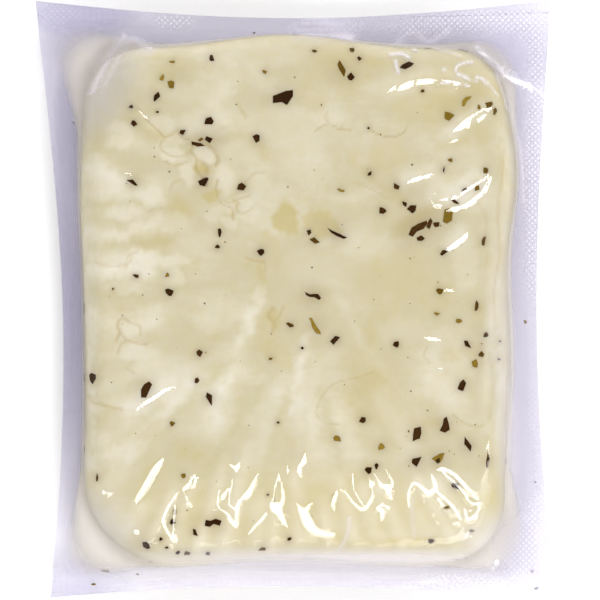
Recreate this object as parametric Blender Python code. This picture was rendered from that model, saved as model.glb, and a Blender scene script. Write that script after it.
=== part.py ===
"""A block of halloumi with mint, sealed under vacuum in a clear film pouch, lying on its back face.

The pouch is one closed body: two webs of film drawn tight over the block, and welded to each other
in a narrow margin all round it. Metres, +Z up. The origin is under the middle of the pouch, on the
surface that it lies on.
"""

import math
import random

import bmesh
import bpy

MM = 0.001

# The pouch as cut, seen from above: its four corners, and how far each side is drawn in by the vacuum.
CUT_LEFT_TOP = (-60.8 * MM, 70.0 * MM)
CUT_RIGHT_TOP = (59.8 * MM, 70.0 * MM)
CUT_RIGHT_BOTTOM = (60.8 * MM, -69.5 * MM)
CUT_LEFT_BOTTOM = (-57.3 * MM, -70.0 * MM)
DRAWN_IN = {"left": 4.5 * MM, "right": 3.7 * MM, "top": 4.0 * MM, "bottom": 2.5 * MM}
DEEPEST = {"left": 0.53, "right": 0.53, "top": 0.5, "bottom": 0.45}  # share of the side's length

# The weld's width on each side, and the round of its inner corners.
WELD = {"left": 2.0 * MM, "right": 3.0 * MM, "top": 3.8 * MM, "bottom": 2.2 * MM}
WELD_CORNER = 10.0 * MM
WEB_THICKNESS = 0.6 * MM
WELD_HEIGHT = 6.0 * MM
WELD_RIPPLE = 0.45 * MM
CORNER_LIFT = {"left_top": 1.2 * MM, "right_top": 2.6 * MM, "right_bottom": -0.9 * MM, "left_bottom": 0.6 * MM}

# The block.
BLOCK_HEIGHT = 20.6 * MM
BLOCK_LEFT, BLOCK_RIGHT = -49.6 * MM, 49.4 * MM
BLOCK_BOTTOM, BLOCK_TOP = -60.6 * MM, 58.9 * MM
BLOCK_CORNER = {"left_top": 15 * MM, "right_top": 13 * MM, "right_bottom": 14 * MM, "left_bottom": 19 * MM}
# Where a side swells outwards: its middle along the side, how far it swells, and its half width.
SWELLS = {
    "top": ((-2 * MM, 3.4 * MM, 20 * MM),),
    "bottom": ((-28 * MM, 1.6 * MM, 13 * MM), (25 * MM, 1.3 * MM, 18 * MM)),
    "left": ((25 * MM, 0.9 * MM, 18 * MM),),
    "right": ((29 * MM, 2.8 * MM, 15 * MM), (-14 * MM, 1.5 * MM, 18 * MM)),
}
SHOULDER = 6.5 * MM
SHOULDER_FULLNESS = 2.4
BACK_ROUND = 7.0 * MM
BACK_FULLNESS = 2.2
FOOT = 1.1 * MM

# Brine and whey stand in the pouch's corners and puff them up.
PUFF = {"left_top": 2.6 * MM, "right_top": 0.7 * MM, "right_bottom": 1.6 * MM, "left_bottom": 2.8 * MM}
PUFF_BELOW = 0.6

# The face falls away towards its bottom edge and its corners.
FALL_STARTS, FALL = -28 * MM, 3.2 * MM
CORNER_FALL, CORNER_REACH = 1.5 * MM, 26 * MM
DOME = 0.7 * MM

# Pleats that gather the film at the bottom edge, as a fan whose ridges aim at one point on the face.
PLEATS = 14
PLEAT_FROM, PLEAT_TO = -40 * MM, 45 * MM
PLEAT_AIM = (-2 * MM, 6 * MM)
PLEAT_LENGTH, PLEAT_HALF_WIDTH, PLEAT_HEIGHT = 25 * MM, 1.9 * MM, 0.55 * MM
PLEAT_SEED = 7
# Single folds: both ends, half width and height. They run in from the corners.
FOLDS = (
    ((-44, -49), (-30, -36), 2.6, 0.65),
    ((-38, -27), (-27, -19), 2.2, 0.45),
    ((-50, -44), (-12, -18), 5.0, 0.45),
    ((-26, -32), (-10, -2), 4.5, 0.40),
    ((12, -30), (2, -6), 4.0, 0.35),
    ((30, -44), (14, -20), 4.5, 0.40),
    ((21, 47.5), (43, 49.5), 2.4, 0.65),
    ((36, 38), (50, 45.5), 2.2, 0.60),
    ((27, 26), (36, 28.5), 1.8, 0.40),
    ((31, 20.5), (47, 27.5), 2.4, 0.65),
    ((34, 10), (39, 15.5), 1.8, 0.35),
)
SWELL_OF_FACE = 0.35 * MM

# Cells of the mesh across and along the pouch, and its rings from the cut edge inwards.
CELLS_ACROSS, CELLS_ALONG = 58, 54
WEB_STEPS = (0.35, 0.7, 1.0)
WALL_STEPS = (0.05, 0.13, 0.27, 0.48, 0.74, 1.0)
RINGS = 2 + len(WEB_STEPS) + len(WALL_STEPS)


def hump(share, deepest):
    """0 at both ends of a side and 1 at its deepest point."""
    return math.sin(math.pi * share ** (math.log(0.5) / math.log(deepest)))


def ease(x):
    """0 below 0, 1 above 1, and smooth between them."""
    x = min(1.0, max(0.0, x))
    return x * x * (3 - 2 * x)


def corner_name(x, y):
    return ("left" if x < 0 else "right") + ("_top" if y > 0 else "_bottom")


def sheet(u, v):
    """The point of the cut sheet at u across and v up, both from -1 to 1."""
    right, up = (1 + u) / 2, (1 + v) / 2
    corners = (
        (CUT_LEFT_BOTTOM, (1 - right) * (1 - up)),
        (CUT_RIGHT_BOTTOM, right * (1 - up)),
        (CUT_LEFT_TOP, (1 - right) * up),
        (CUT_RIGHT_TOP, right * up),
    )
    x, y = (sum(corner[axis] * share for corner, share in corners) for axis in (0, 1))
    side = "left" if u < 0 else "right"
    x -= u * DRAWN_IN[side] * hump(1 - up, DEEPEST[side])
    end = "bottom" if v < 0 else "top"
    y -= v * DRAWN_IN[end] * hump(right, DEEPEST[end])
    return x, y


def rounded(u, v, half_width, half_height, radius):
    """Where (u, v), a point on the unit square's edge, falls on a rounded rectangle, and its outward direction."""
    x, y = u * half_width, v * half_height
    core_x = max(radius - half_width, min(half_width - radius, x))
    core_y = max(radius - half_height, min(half_height - radius, y))
    length = math.hypot(x - core_x, y - core_y)
    out = ((x - core_x) / length, (y - core_y) / length)
    return core_x + radius * out[0], core_y + radius * out[1], out


def weld_edge(u, v):
    """The weld's inner edge, a rounded rectangle drawn on the sheet."""
    half_width, half_height = CUT_RIGHT_BOTTOM[0], CUT_RIGHT_TOP[1]
    x, y, _ = rounded(u, v, half_width, half_height, WELD_CORNER)
    across = WELD["left"] if x < 0 else WELD["right"]
    along = WELD["bottom"] if y < 0 else WELD["top"]
    return sheet(x / half_width * (1 - across / half_width), y / half_height * (1 - along / half_height))


def outline(u, v, inset=0.0):
    """The block's outline, set in by inset: the point that (u, v) on the unit square's edge falls on."""
    half_width, half_height = (BLOCK_RIGHT - BLOCK_LEFT) / 2, (BLOCK_TOP - BLOCK_BOTTOM) / 2
    x, y, out = rounded(u, v, half_width, half_height, BLOCK_CORNER[corner_name(u, v)])
    x += (BLOCK_RIGHT + BLOCK_LEFT) / 2
    y += (BLOCK_TOP + BLOCK_BOTTOM) / 2
    swell = 0.0
    for side, along, facing in (("top", x, out[1]), ("bottom", x, -out[1]), ("right", y, out[0]), ("left", y, -out[0])):
        for middle, height, half in SWELLS[side]:
            swell += max(0.0, facing) * height * math.exp(-(((along - middle) / half) ** 2))
    return x + out[0] * (swell - inset), y + out[1] * (swell - inset)


def weld_height(x, y):
    """The middle of the weld's thickness. The weld ripples, and its corners curl."""
    turn = math.atan2(y, x)
    ripple = math.sin(3 * turn + 0.6) + 0.6 * math.sin(7 * turn + 2.0)
    lift = CORNER_LIFT[corner_name(x, y)]
    reach = min(abs(x) / CUT_RIGHT_BOTTOM[0], abs(y) / CUT_RIGHT_TOP[1])
    return WELD_HEIGHT + WELD_RIPPLE * ripple + lift * ease((reach - 0.6) / 0.4)


def puff(x, y):
    """How far brine lifts the loose web at this place."""
    reach = min(abs(x) / BLOCK_RIGHT, abs(y) / BLOCK_TOP)
    return PUFF[corner_name(x, y)] * ease((reach - 0.45) / 0.5)


def quarter_round(share, fullness):
    """Height of a rounded shoulder, from 0 at its foot to 1 at its top."""
    return (1 - (1 - share) ** fullness) ** (1 / fullness)


def ridge(x, y, start, end, half_width, height):
    """A fold of the film with soft sides and ends, from start to end."""
    run = (end[0] - start[0], end[1] - start[1])
    length = math.hypot(*run)
    along = ((x - start[0]) * run[0] + (y - start[1]) * run[1]) / length
    aside = ((y - start[1]) * run[0] - (x - start[0]) * run[1]) / length
    past = max(-along, along - length, 0.0)
    return height * math.exp(-((aside / half_width) ** 2) - (past / (2 * half_width)) ** 2)


def pleats():
    """The ridges of the gathered film, each with its start, end, half width and height."""
    draw = random.Random(PLEAT_SEED)
    made = []
    for number in range(PLEATS):
        x = PLEAT_FROM + (PLEAT_TO - PLEAT_FROM) * (number + draw.uniform(-0.22, 0.22)) / (PLEATS - 1)
        aim = (PLEAT_AIM[0] - x, PLEAT_AIM[1] - BLOCK_BOTTOM)
        share = PLEAT_LENGTH * draw.uniform(0.55, 1.15) / math.hypot(*aim)
        start = (x, BLOCK_BOTTOM)
        end = (x + aim[0] * share, BLOCK_BOTTOM + aim[1] * share)
        made.append((start, end, PLEAT_HALF_WIDTH * draw.uniform(0.8, 1.25), PLEAT_HEIGHT * draw.uniform(0.6, 1.2)))
    return made


def folds():
    return [
        ((start[0] * MM, start[1] * MM), (end[0] * MM, end[1] * MM), half_width * MM, height * MM)
        for start, end, half_width, height in FOLDS
    ]


def relief(x, y, ridges):
    """How far the film stands proud of the plain form."""
    slow = math.sin(x / (9 * MM) + 1.3) * math.sin(y / (11 * MM) + 0.4)
    return SWELL_OF_FACE * slow + sum(ridge(x, y, *one) for one in ridges)


def face_height(x, y):
    """The plain form of the shown face, without its folds."""
    fall = FALL * ease((FALL_STARTS - y) / (FALL_STARTS - BLOCK_BOTTOM)) ** 1.5
    across = max(0.0, abs(x) - (BLOCK_RIGHT - CORNER_REACH)) / CORNER_REACH
    along = max(0.0, abs(y) - (BLOCK_TOP - CORNER_REACH)) / CORNER_REACH
    dome = DOME * ((x / BLOCK_RIGHT) ** 2 + (y / BLOCK_TOP) ** 2) / 2
    return BLOCK_HEIGHT - fall - CORNER_FALL * across * along * 2 - dome


def grid_place(column, row):
    """The ring that a corner of the grid is on, counted from the cut edge, and its (u, v) there."""
    ring = min(column, CELLS_ACROSS - column, row, CELLS_ALONG - row, RINGS - 1)
    u = (column - CELLS_ACROSS / 2) / (CELLS_ACROSS / 2 - ring)
    v = (row - CELLS_ALONG / 2) / (CELLS_ALONG / 2 - ring)
    return ring, u, v


def plan(column, row):
    """x, y, the share of the way over the loose web, and the share of the way up the wall, or None on the face."""
    ring, u, v = grid_place(column, row)
    if ring == 0:
        return *sheet(u, v), 0.0, 0.0
    if ring == 1:
        return *weld_edge(u, v), 0.0, 0.0
    if ring < 2 + len(WEB_STEPS):
        share = WEB_STEPS[ring - 2]
        outer, inner = weld_edge(u, v), outline(u, v)
        return *(a + (b - a) * share for a, b in zip(outer, inner, strict=True)), share, 0.0
    if ring < RINGS - 1:
        step = WALL_STEPS[ring - 2 - len(WEB_STEPS)]
        return *outline(u, v, step * SHOULDER), 1.0, step
    size = max(abs(u), abs(v))
    edge = outline(u / size, v / size, SHOULDER) if size > 0 else (0.0, 0.0)
    middle_x, middle_y = (BLOCK_LEFT + BLOCK_RIGHT) / 2, (BLOCK_BOTTOM + BLOCK_TOP) / 2
    curved = (middle_x + (edge[0] - middle_x) * size, middle_y + (edge[1] - middle_y) * size)
    straight = (
        middle_x + u * ((BLOCK_RIGHT - BLOCK_LEFT) / 2 - SHOULDER),
        middle_y + v * ((BLOCK_TOP - BLOCK_BOTTOM) / 2 - SHOULDER),
    )
    share = ease((size - 0.3) / 0.7)
    return *(s + (c - s) * share for s, c in zip(straight, curved, strict=True)), 1.0, 1.0


def upper_height(x, y, web, wall):
    """The shown web: flat on the weld, up over the puffed brine, up the wall and over the face."""
    base = weld_height(x, y) + WEB_THICKNESS / 2
    loose = base + FOOT * web**3 + puff(x, y) * math.sin(math.pi * min(1.0, web * 0.8))
    return loose + (face_height(x, y) - loose) * quarter_round(wall, SHOULDER_FULLNESS)


def lower_height(x, y, web, wall):
    """The back web: flat on the weld, down round the block's back edge, and flat where the pouch rests."""
    base = weld_height(x, y) - WEB_THICKNESS / 2
    loose = base - FOOT * 0.6 * web**3 - PUFF_BELOW * puff(x, y) * math.sin(math.pi * min(1.0, web * 0.8))
    return loose * (1 - quarter_round(wall, BACK_FULLNESS))


def lower_plan(x, y, u, v, wall):
    """The back's round edge is wider than the front's shoulder, so its rings are set further in."""
    return outline(u, v, wall * BACK_ROUND) if wall > 0 else (x, y)


def pouch_mesh():
    """The whole pouch: the upper web, the lower web and the narrow cut edge that joins them."""
    mesh = bpy.data.meshes.new("vacuum_pack")
    bm = bmesh.new()
    upper, lower = {}, {}
    for row in range(CELLS_ALONG + 1):
        for column in range(CELLS_ACROSS + 1):
            x, y, web, wall = plan(column, row)
            upper[column, row] = bm.verts.new((x, y, upper_height(x, y, web, wall)))
            ring, u, v = grid_place(column, row)
            if ring < RINGS - 1 or max(abs(u), abs(v)) > 1 - 1e-9:
                x, y = lower_plan(x, y, u, v, wall)
                lower[column, row] = bm.verts.new((x, y, lower_height(x, y, web, wall)))
    for row in range(CELLS_ALONG):
        for column in range(CELLS_ACROSS):
            loop = [(column, row), (column + 1, row), (column + 1, row + 1), (column, row + 1)]
            bm.faces.new([upper[place] for place in loop])
            if all(place in lower for place in loop):
                bm.faces.new([lower[place] for place in reversed(loop)])
    raise_folds(bm, set(upper.values()))
    border = rim(0)
    for here, after in zip(border, border[1:] + border[:1], strict=True):
        bm.faces.new([lower[here], lower[after], upper[after], upper[here]])
    bm.faces.new([lower[place] for place in reversed(rim(RINGS - 1))])
    bmesh.ops.triangulate(bm, faces=[face for face in bm.faces if len(face.verts) == 4])
    bm.to_mesh(mesh)
    bm.free()
    return mesh


def rim(ring):
    """The grid's corners round one ring, anticlockwise from above."""
    left, right, low, high = ring, CELLS_ACROSS - ring, ring, CELLS_ALONG - ring
    return (
        [(column, low) for column in range(left, right)]
        + [(right, row) for row in range(low, high)]
        + [(column, high) for column in range(right, left, -1)]
        + [(left, row) for row in range(high, low, -1)]
    )


def raise_folds(bm, upper):
    """Moves the upper web out along its normals by the folds, which fade to nothing at the foot of the wall."""
    bm.normal_update()
    ridges = pleats() + folds()
    moves = []
    for vert in upper:
        share = ease((vert.co.z - WELD_HEIGHT - FOOT - 2.5 * MM) / (6 * MM))
        if share > 0:
            moves.append((vert, vert.normal * (relief(vert.co.x, vert.co.y, ridges) * share)))
    for vert, move in moves:
        vert.co += move


def film_material():
    material = bpy.data.materials.new("film_over_cheese")
    material.use_nodes = True
    surface = material.node_tree.nodes["Principled BSDF"]
    surface.inputs["Base Color"].default_value = (0.72, 0.65, 0.46, 1.0)
    surface.inputs["Roughness"].default_value = 0.16
    surface.inputs["Metallic"].default_value = 0.0
    surface.inputs["Coat Weight"].default_value = 1.0
    return material


def centre_and_ground(mesh):
    """Moves the mesh so that its box stands on the ground with the origin under its middle."""
    low = [min(vert.co[axis] for vert in mesh.vertices) for axis in range(3)]
    high = [max(vert.co[axis] for vert in mesh.vertices) for axis in range(3)]
    for vert in mesh.vertices:
        vert.co.x -= (low[0] + high[0]) / 2
        vert.co.y -= (low[1] + high[1]) / 2
        vert.co.z -= low[2]


def main():
    for old in list(bpy.data.objects):
        bpy.data.objects.remove(old)
    mesh = pouch_mesh()
    centre_and_ground(mesh)
    mesh.materials.append(film_material())
    pack = bpy.data.objects.new("vacuum_pack", mesh)
    bpy.context.scene.collection.objects.link(pack)
    mesh.shade_smooth()


main()
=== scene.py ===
# %% [markdown]
# # A vacuum-packed block of halloumi with mint
#
# The object is a hand-made block of pale cheese, about 100 by 120 by 20 mm, in a clear pouch. The pouch is
# two webs of film. The air was drawn out of it, so the film clings to the block, gathers into pleats where
# it has too much length, and is welded round the edge in a narrow knurled margin. Milky brine stands in
# the corners, between the block and the weld.
#
# The solid model is one closed body. Here it is replaced by what the eye sees: the upper and the lower
# web, the weld, the block, its mint flakes and the brine. The first cell loads the solid as a fixed frame.

# %% Frame
import math
import random

import bmesh
import bpy
import numpy as np
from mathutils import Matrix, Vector
from mathutils.bvhtree import BVHTree


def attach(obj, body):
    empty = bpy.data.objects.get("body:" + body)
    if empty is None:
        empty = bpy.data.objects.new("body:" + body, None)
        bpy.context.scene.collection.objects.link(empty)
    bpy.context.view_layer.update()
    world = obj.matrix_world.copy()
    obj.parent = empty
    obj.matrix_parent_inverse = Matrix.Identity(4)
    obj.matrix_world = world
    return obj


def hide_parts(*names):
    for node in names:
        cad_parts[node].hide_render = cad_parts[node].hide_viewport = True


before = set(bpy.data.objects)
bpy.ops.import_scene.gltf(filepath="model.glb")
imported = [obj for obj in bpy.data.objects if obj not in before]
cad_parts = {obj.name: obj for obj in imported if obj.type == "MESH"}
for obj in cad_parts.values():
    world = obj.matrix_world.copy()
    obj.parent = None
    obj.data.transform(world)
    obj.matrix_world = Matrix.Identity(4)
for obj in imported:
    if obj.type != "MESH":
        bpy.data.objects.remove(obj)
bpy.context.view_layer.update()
MM = 0.001

# %% [markdown]
# ## The camera
#
# The photo was taken from straight above, with a long lens: the pouch fills the frame and hardly any
# perspective shows. A place that was read off the photo is turned into millimetres by one scale.

# %% Camera
FRAME_PIXELS = 600
PIXEL = 0.2337 * MM
FRAME_MIDDLE = (295.0, 299.5)  # the pixel that lies over the origin
CAMERA_HEIGHT = 1.6
SENSOR = 36.0
FACE_LEVEL = 12 * MM


def at(pixel_x, pixel_y):
    """The place in metres of a point of the photo."""
    return (pixel_x - FRAME_MIDDLE[0]) * PIXEL, (FRAME_MIDDLE[1] - pixel_y) * PIXEL


lens = bpy.data.cameras.new("camera")
lens.sensor_width = SENSOR
lens.lens = SENSOR * (CAMERA_HEIGHT - FACE_LEVEL) / (FRAME_PIXELS * PIXEL)
camera = bpy.data.objects.new("camera", lens)
camera.location = (*at(FRAME_PIXELS / 2, FRAME_PIXELS / 2), CAMERA_HEIGHT)
bpy.context.scene.collection.objects.link(camera)
bpy.context.scene.camera = camera
print("focal length in mm:", round(lens.lens))

# %% [markdown]
# ## The plan of the pouch
#
# Everything in the pouch follows two outlines. One is the sheet as cut: four corners, and sides that the
# vacuum draws in. The other is the block's, a rounded rectangle that swells here and there. The solid was
# made from the same sizes, so they are repeated here, and every piece is worked out from them.
#
# The outlines work on whole arrays of points at once. A point is given as (u, v) on a square from -1 to 1.

# %% Sizes of the pouch and the block
CUT_LEFT_TOP = (-60.8 * MM, 70.0 * MM)
CUT_RIGHT_TOP = (59.8 * MM, 70.0 * MM)
CUT_RIGHT_BOTTOM = (60.8 * MM, -69.5 * MM)
CUT_LEFT_BOTTOM = (-57.3 * MM, -70.0 * MM)
DRAWN_IN = {"left": 4.5 * MM, "right": 3.7 * MM, "top": 4.0 * MM, "bottom": 2.5 * MM}
DEEPEST = {"left": 0.53, "right": 0.53, "top": 0.5, "bottom": 0.45}
WELD = {"left": 2.0 * MM, "right": 3.0 * MM, "top": 3.8 * MM, "bottom": 2.2 * MM}
WELD_CORNER = 10.0 * MM
WELD_HEIGHT = 6.0 * MM
WELD_RIPPLE = 0.45 * MM
CORNER_LIFT = {
    "left_top": 1.2 * MM,
    "right_top": 2.6 * MM,
    "right_bottom": -0.9 * MM,
    "left_bottom": 0.6 * MM,
}
BLOCK_HEIGHT = 20.6 * MM
BLOCK_LEFT, BLOCK_RIGHT = -49.6 * MM, 49.4 * MM
BLOCK_BOTTOM, BLOCK_TOP = -60.6 * MM, 58.9 * MM
BLOCK_CORNER = {"left_top": 15 * MM, "right_top": 13 * MM, "right_bottom": 14 * MM, "left_bottom": 19 * MM}
SWELLS = {
    "top": ((-2 * MM, 3.4 * MM, 20 * MM),),
    "bottom": ((-28 * MM, 1.6 * MM, 13 * MM), (25 * MM, 1.3 * MM, 18 * MM)),
    "left": ((25 * MM, 0.9 * MM, 18 * MM),),
    "right": ((29 * MM, 2.8 * MM, 15 * MM), (-14 * MM, 1.5 * MM, 18 * MM)),
}
SHOULDER, SHOULDER_FULLNESS = 6.5 * MM, 2.4
BACK_ROUND, BACK_FULLNESS = 7.0 * MM, 2.2
FOOT = 1.1 * MM
PUFF = {"left_top": 2.6 * MM, "right_top": 0.7 * MM, "right_bottom": 1.6 * MM, "left_bottom": 2.8 * MM}
PUFF_BELOW = 0.6
FALL_STARTS, FALL = -28 * MM, 3.2 * MM
CORNER_FALL, CORNER_REACH = 1.5 * MM, 26 * MM
DOME = 0.7 * MM
HALF_WIDTH, HALF_HEIGHT = CUT_RIGHT_BOTTOM[0], CUT_RIGHT_TOP[1]
MIDDLE = ((BLOCK_LEFT + BLOCK_RIGHT) / 2, (BLOCK_BOTTOM + BLOCK_TOP) / 2)
print("block in mm:", round((BLOCK_RIGHT - BLOCK_LEFT) / MM), "x", round((BLOCK_TOP - BLOCK_BOTTOM) / MM))

# %% Outlines
def hump(share, deepest):
    """0 at both ends of a side and 1 at its deepest point."""
    return np.sin(math.pi * np.clip(share, 0, 1) ** (math.log(0.5) / math.log(deepest)))


def ease(x):
    """0 below 0, 1 above 1, and smooth between them."""
    x = np.clip(x, 0, 1)
    return x * x * (3 - 2 * x)


def by_corner(values, x, y):
    """The value of the corner that each point is nearest to."""
    top = np.where(x < 0, values["left_top"], values["right_top"])
    bottom = np.where(x < 0, values["left_bottom"], values["right_bottom"])
    return np.where(y > 0, top, bottom)


def sheet(u, v):
    """The point of the cut sheet at u across and v up."""
    right, up = (1 + u) / 2, (1 + v) / 2
    corners = (
        (CUT_LEFT_BOTTOM, (1 - right) * (1 - up)),
        (CUT_RIGHT_BOTTOM, right * (1 - up)),
        (CUT_LEFT_TOP, (1 - right) * up),
        (CUT_RIGHT_TOP, right * up),
    )
    x, y = (sum(corner[axis] * share for corner, share in corners) for axis in (0, 1))
    side = {name: DRAWN_IN[name] * hump(1 - up, DEEPEST[name]) for name in ("left", "right")}
    end = {name: DRAWN_IN[name] * hump(right, DEEPEST[name]) for name in ("top", "bottom")}
    inward_x = u * np.where(u < 0, side["left"], side["right"])
    inward_y = v * np.where(v < 0, end["bottom"], end["top"])
    return x - inward_x, y - inward_y


def rounded(u, v, half_width, half_height, radius):
    """Where a point of the square's edge falls on a rounded rectangle, and the outward direction there."""
    x, y = u * half_width, v * half_height
    core_x = np.clip(x, radius - half_width, half_width - radius)
    core_y = np.clip(y, radius - half_height, half_height - radius)
    length = np.maximum(np.hypot(x - core_x, y - core_y), 1e-9)
    out_x, out_y = (x - core_x) / length, (y - core_y) / length
    return core_x + radius * out_x, core_y + radius * out_y, out_x, out_y


def weld_edge(u, v):
    """The weld's inner edge."""
    x, y, _, _ = rounded(u, v, HALF_WIDTH, HALF_HEIGHT, WELD_CORNER)
    across = np.where(x < 0, WELD["left"], WELD["right"])
    along = np.where(y < 0, WELD["bottom"], WELD["top"])
    return sheet(x / HALF_WIDTH * (1 - across / HALF_WIDTH), y / HALF_HEIGHT * (1 - along / HALF_HEIGHT))


def outline(u, v, inset=0.0):
    """The block's outline, set in by inset."""
    half_width, half_height = (BLOCK_RIGHT - BLOCK_LEFT) / 2, (BLOCK_TOP - BLOCK_BOTTOM) / 2
    x, y, out_x, out_y = rounded(u, v, half_width, half_height, by_corner(BLOCK_CORNER, u, v))
    x, y = x + MIDDLE[0], y + MIDDLE[1]
    swell = np.zeros_like(x)
    sides = (("top", x, out_y), ("bottom", x, -out_y), ("right", y, out_x), ("left", y, -out_x))
    for side, along, facing in sides:
        for middle, height, half in SWELLS[side]:
            swell += np.maximum(0, facing) * height * np.exp(-(((along - middle) / half) ** 2))
    return x + out_x * (swell - inset), y + out_y * (swell - inset)


edge_x, edge_y = sheet(np.array([-1.0, 1.0, 0.0, 0.0]), np.array([0.0, 0.0, 1.0, -1.0]))
waist = ((edge_x[1] - edge_x[0]) / MM, (edge_y[2] - edge_y[3]) / MM)
print("pouch at its waist in mm:", round(waist[0], 1), "x", round(waist[1], 1))

# %% [markdown]
# ## Heights
#
# Seen from the side the weld floats about 6 mm up, where the two webs meet. From it the upper web rises
# over a little loose film, up the block's wall, round its shoulder and over the face. The lower web goes
# down round the block's back edge and lies flat. The weld ripples, and its corners curl.

# %% Heights of the webs
RIPPLES = ((3, 0.6, 1.0), (7, 2.0, 0.6))  # waves round the edge, where they start, how high


def weld_height(x, y):
    """The middle of the weld's thickness."""
    turn = np.arctan2(y, x)
    ripple = sum(height * np.sin(waves * turn + start) for waves, start, height in RIPPLES)
    reach = np.minimum(np.abs(x) / HALF_WIDTH, np.abs(y) / HALF_HEIGHT)
    return WELD_HEIGHT + WELD_RIPPLE * ripple + by_corner(CORNER_LIFT, x, y) * ease((reach - 0.6) / 0.4)


def puff(x, y):
    """How far brine lifts the loose web."""
    reach = np.minimum(np.abs(x) / BLOCK_RIGHT, np.abs(y) / BLOCK_TOP)
    return by_corner(PUFF, x, y) * ease((reach - 0.45) / 0.5)


def face_height(x, y):
    """The plain form of the shown face, without its folds."""
    fall = FALL * ease((FALL_STARTS - y) / (FALL_STARTS - BLOCK_BOTTOM)) ** 1.5
    across = np.maximum(0, np.abs(x) - (BLOCK_RIGHT - CORNER_REACH)) / CORNER_REACH
    along = np.maximum(0, np.abs(y) - (BLOCK_TOP - CORNER_REACH)) / CORNER_REACH
    dome = DOME * ((x / BLOCK_RIGHT) ** 2 + (y / BLOCK_TOP) ** 2) / 2
    return BLOCK_HEIGHT - fall - CORNER_FALL * across * along * 2 - dome


def quarter_round(share, fullness):
    """Height of a rounded shoulder, from 0 at its foot to 1 at its top."""
    return (1 - (1 - np.clip(share, 0, 1)) ** fullness) ** (1 / fullness)


def billow(web):
    """0 at the weld, 1 halfway over the loose web, and lower again at the block."""
    return np.sin(math.pi * np.minimum(1, web * 0.8)) ** 1.5


def upper_height(x, y, web, wall, thickness=0.0):
    """The upper web. web runs from 0 at the weld to 1 at the block, wall from 0 at its foot to 1."""
    loose = weld_height(x, y) + thickness + FOOT * web**3 + puff(x, y) * billow(web)
    return loose + (face_height(x, y) - loose) * quarter_round(wall, SHOULDER_FULLNESS)


def lower_height(x, y, web, wall, thickness=0.0):
    swell = PUFF_BELOW * puff(x, y) * billow(web)
    loose = weld_height(x, y) - thickness - FOOT * 0.6 * web**3 - swell
    return loose * (1 - quarter_round(wall, BACK_FULLNESS))


middle_of_face = float(face_height(0.0, 0.0)) / MM
print("height of the middle of the face in mm:", round(middle_of_face, 1))

# %% [markdown]
# ## Folds
#
# Where film has more length than it needs, it stands up in folds. A fold is a ridge along a smooth line.
# It could be sculpted with a brush, but then nobody could say where it lies. So a broad fold is written
# down as a few points of its line, half its width in pixels and its height. `fold_relief` works out how
# far every point of a piece is from that line, and raises it the more, the nearer it is.
#
# Broad soft folds shape the cheese as well, because the block was pressed while it was warm. Sharp ones
# are in the film alone. The flank of a sharp fold that faces the lamp is what flashes in the photo, so
# such a fold is written down as its flash, and the fold's own width and height follow from that.

# %% A fold as a smooth line
LAMP_DIRECTION = np.array((0.42, -0.91))
FLANK = 0.55  # a flash lies this share of the half width to the lamp's side of the ridge
CREST = 0.25  # how round a sharp fold's crest is


def smooth_line(points, steps=7):
    """A Catmull-Rom curve through the points."""
    points = np.array(points, dtype=float)
    padded = np.vstack((2 * points[0] - points[1], points, 2 * points[-1] - points[-2]))
    line = []
    for before, start, end, after in zip(padded, padded[1:], padded[2:], padded[3:]):
        for t in np.arange(steps) / steps:
            line.append(
                0.5
                * (
                    2 * start
                    + (end - before) * t
                    + (2 * before - 5 * start + 4 * end - after) * t**2
                    + (3 * start - before - 3 * end + after) * t**3
                )
            )
    return np.array([*line, points[-1]])


def lengthen(line, length):
    """The line with straight ends added, over which a fold dies away."""
    ends = []
    for end, inner in ((line[0], line[1]), (line[-1], line[-2])):
        away = (end - inner) / max(np.hypot(*(end - inner)), 1e-9)
        ends.append(end + away * length)
    return np.vstack((ends[0], line, ends[1]))


def line_distance(x, y, line):
    """For each point, the distance to the line and the share of the way along it."""
    nearest = np.full(x.shape, 1e9)
    share = np.zeros(x.shape)
    for number, (start, end) in enumerate(zip(line, line[1:])):
        run = end - start
        along = np.clip(((x - start[0]) * run[0] + (y - start[1]) * run[1]) / max(run @ run, 1e-12), 0, 1)
        distance = np.hypot(x - start[0] - along * run[0], y - start[1] - along * run[1])
        closer = distance < nearest
        nearest = np.where(closer, distance, nearest)
        share = np.where(closer, (number + along) / (len(line) - 1), share)
    return nearest, share


def near_line(x, y, line, reach):
    """Which points lie near enough to a line to be worth measuring."""
    near = (x > line[:, 0].min() - reach) & (x < line[:, 0].max() + reach)
    return near & (y > line[:, 1].min() - reach) & (y < line[:, 1].max() + reach)


def soft_profile(distance):
    """A round ridge: 1 on its line, almost 0 at twice its half width."""
    return np.exp(-(distance**2))


def sharp_profile(distance):
    """A ridge with flat flanks and a narrow crest, as stiff film folds."""
    return np.clip(1 - (np.sqrt(distance**2 + CREST**2) - CREST) / 1.1, 0, 1) ** 1.3


def fold_relief(x, y, folds, profile):
    """Height over (x, y) of folds given as (points in pixels, half width in pixels, height in mm)."""
    relief = np.zeros(x.shape)
    for points, half_width, height in folds:
        line = np.array([at(*point) for point in smooth_line(points)])
        line = lengthen(line, half_width * PIXEL)
        line -= LAMP_DIRECTION * half_width * PIXEL * FLANK
        near = near_line(x, y, line, 3 * half_width * PIXEL)
        distance, share = line_distance(x[near], y[near], line)
        taper = ease(np.minimum(share, 1 - share) * 3.5)
        relief[near] += height * MM * taper * profile(distance / (half_width * PIXEL))
    return relief


print("a sharp fold one half width from its crest has sunk to", round(float(sharp_profile(1.0)), 2))

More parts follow.
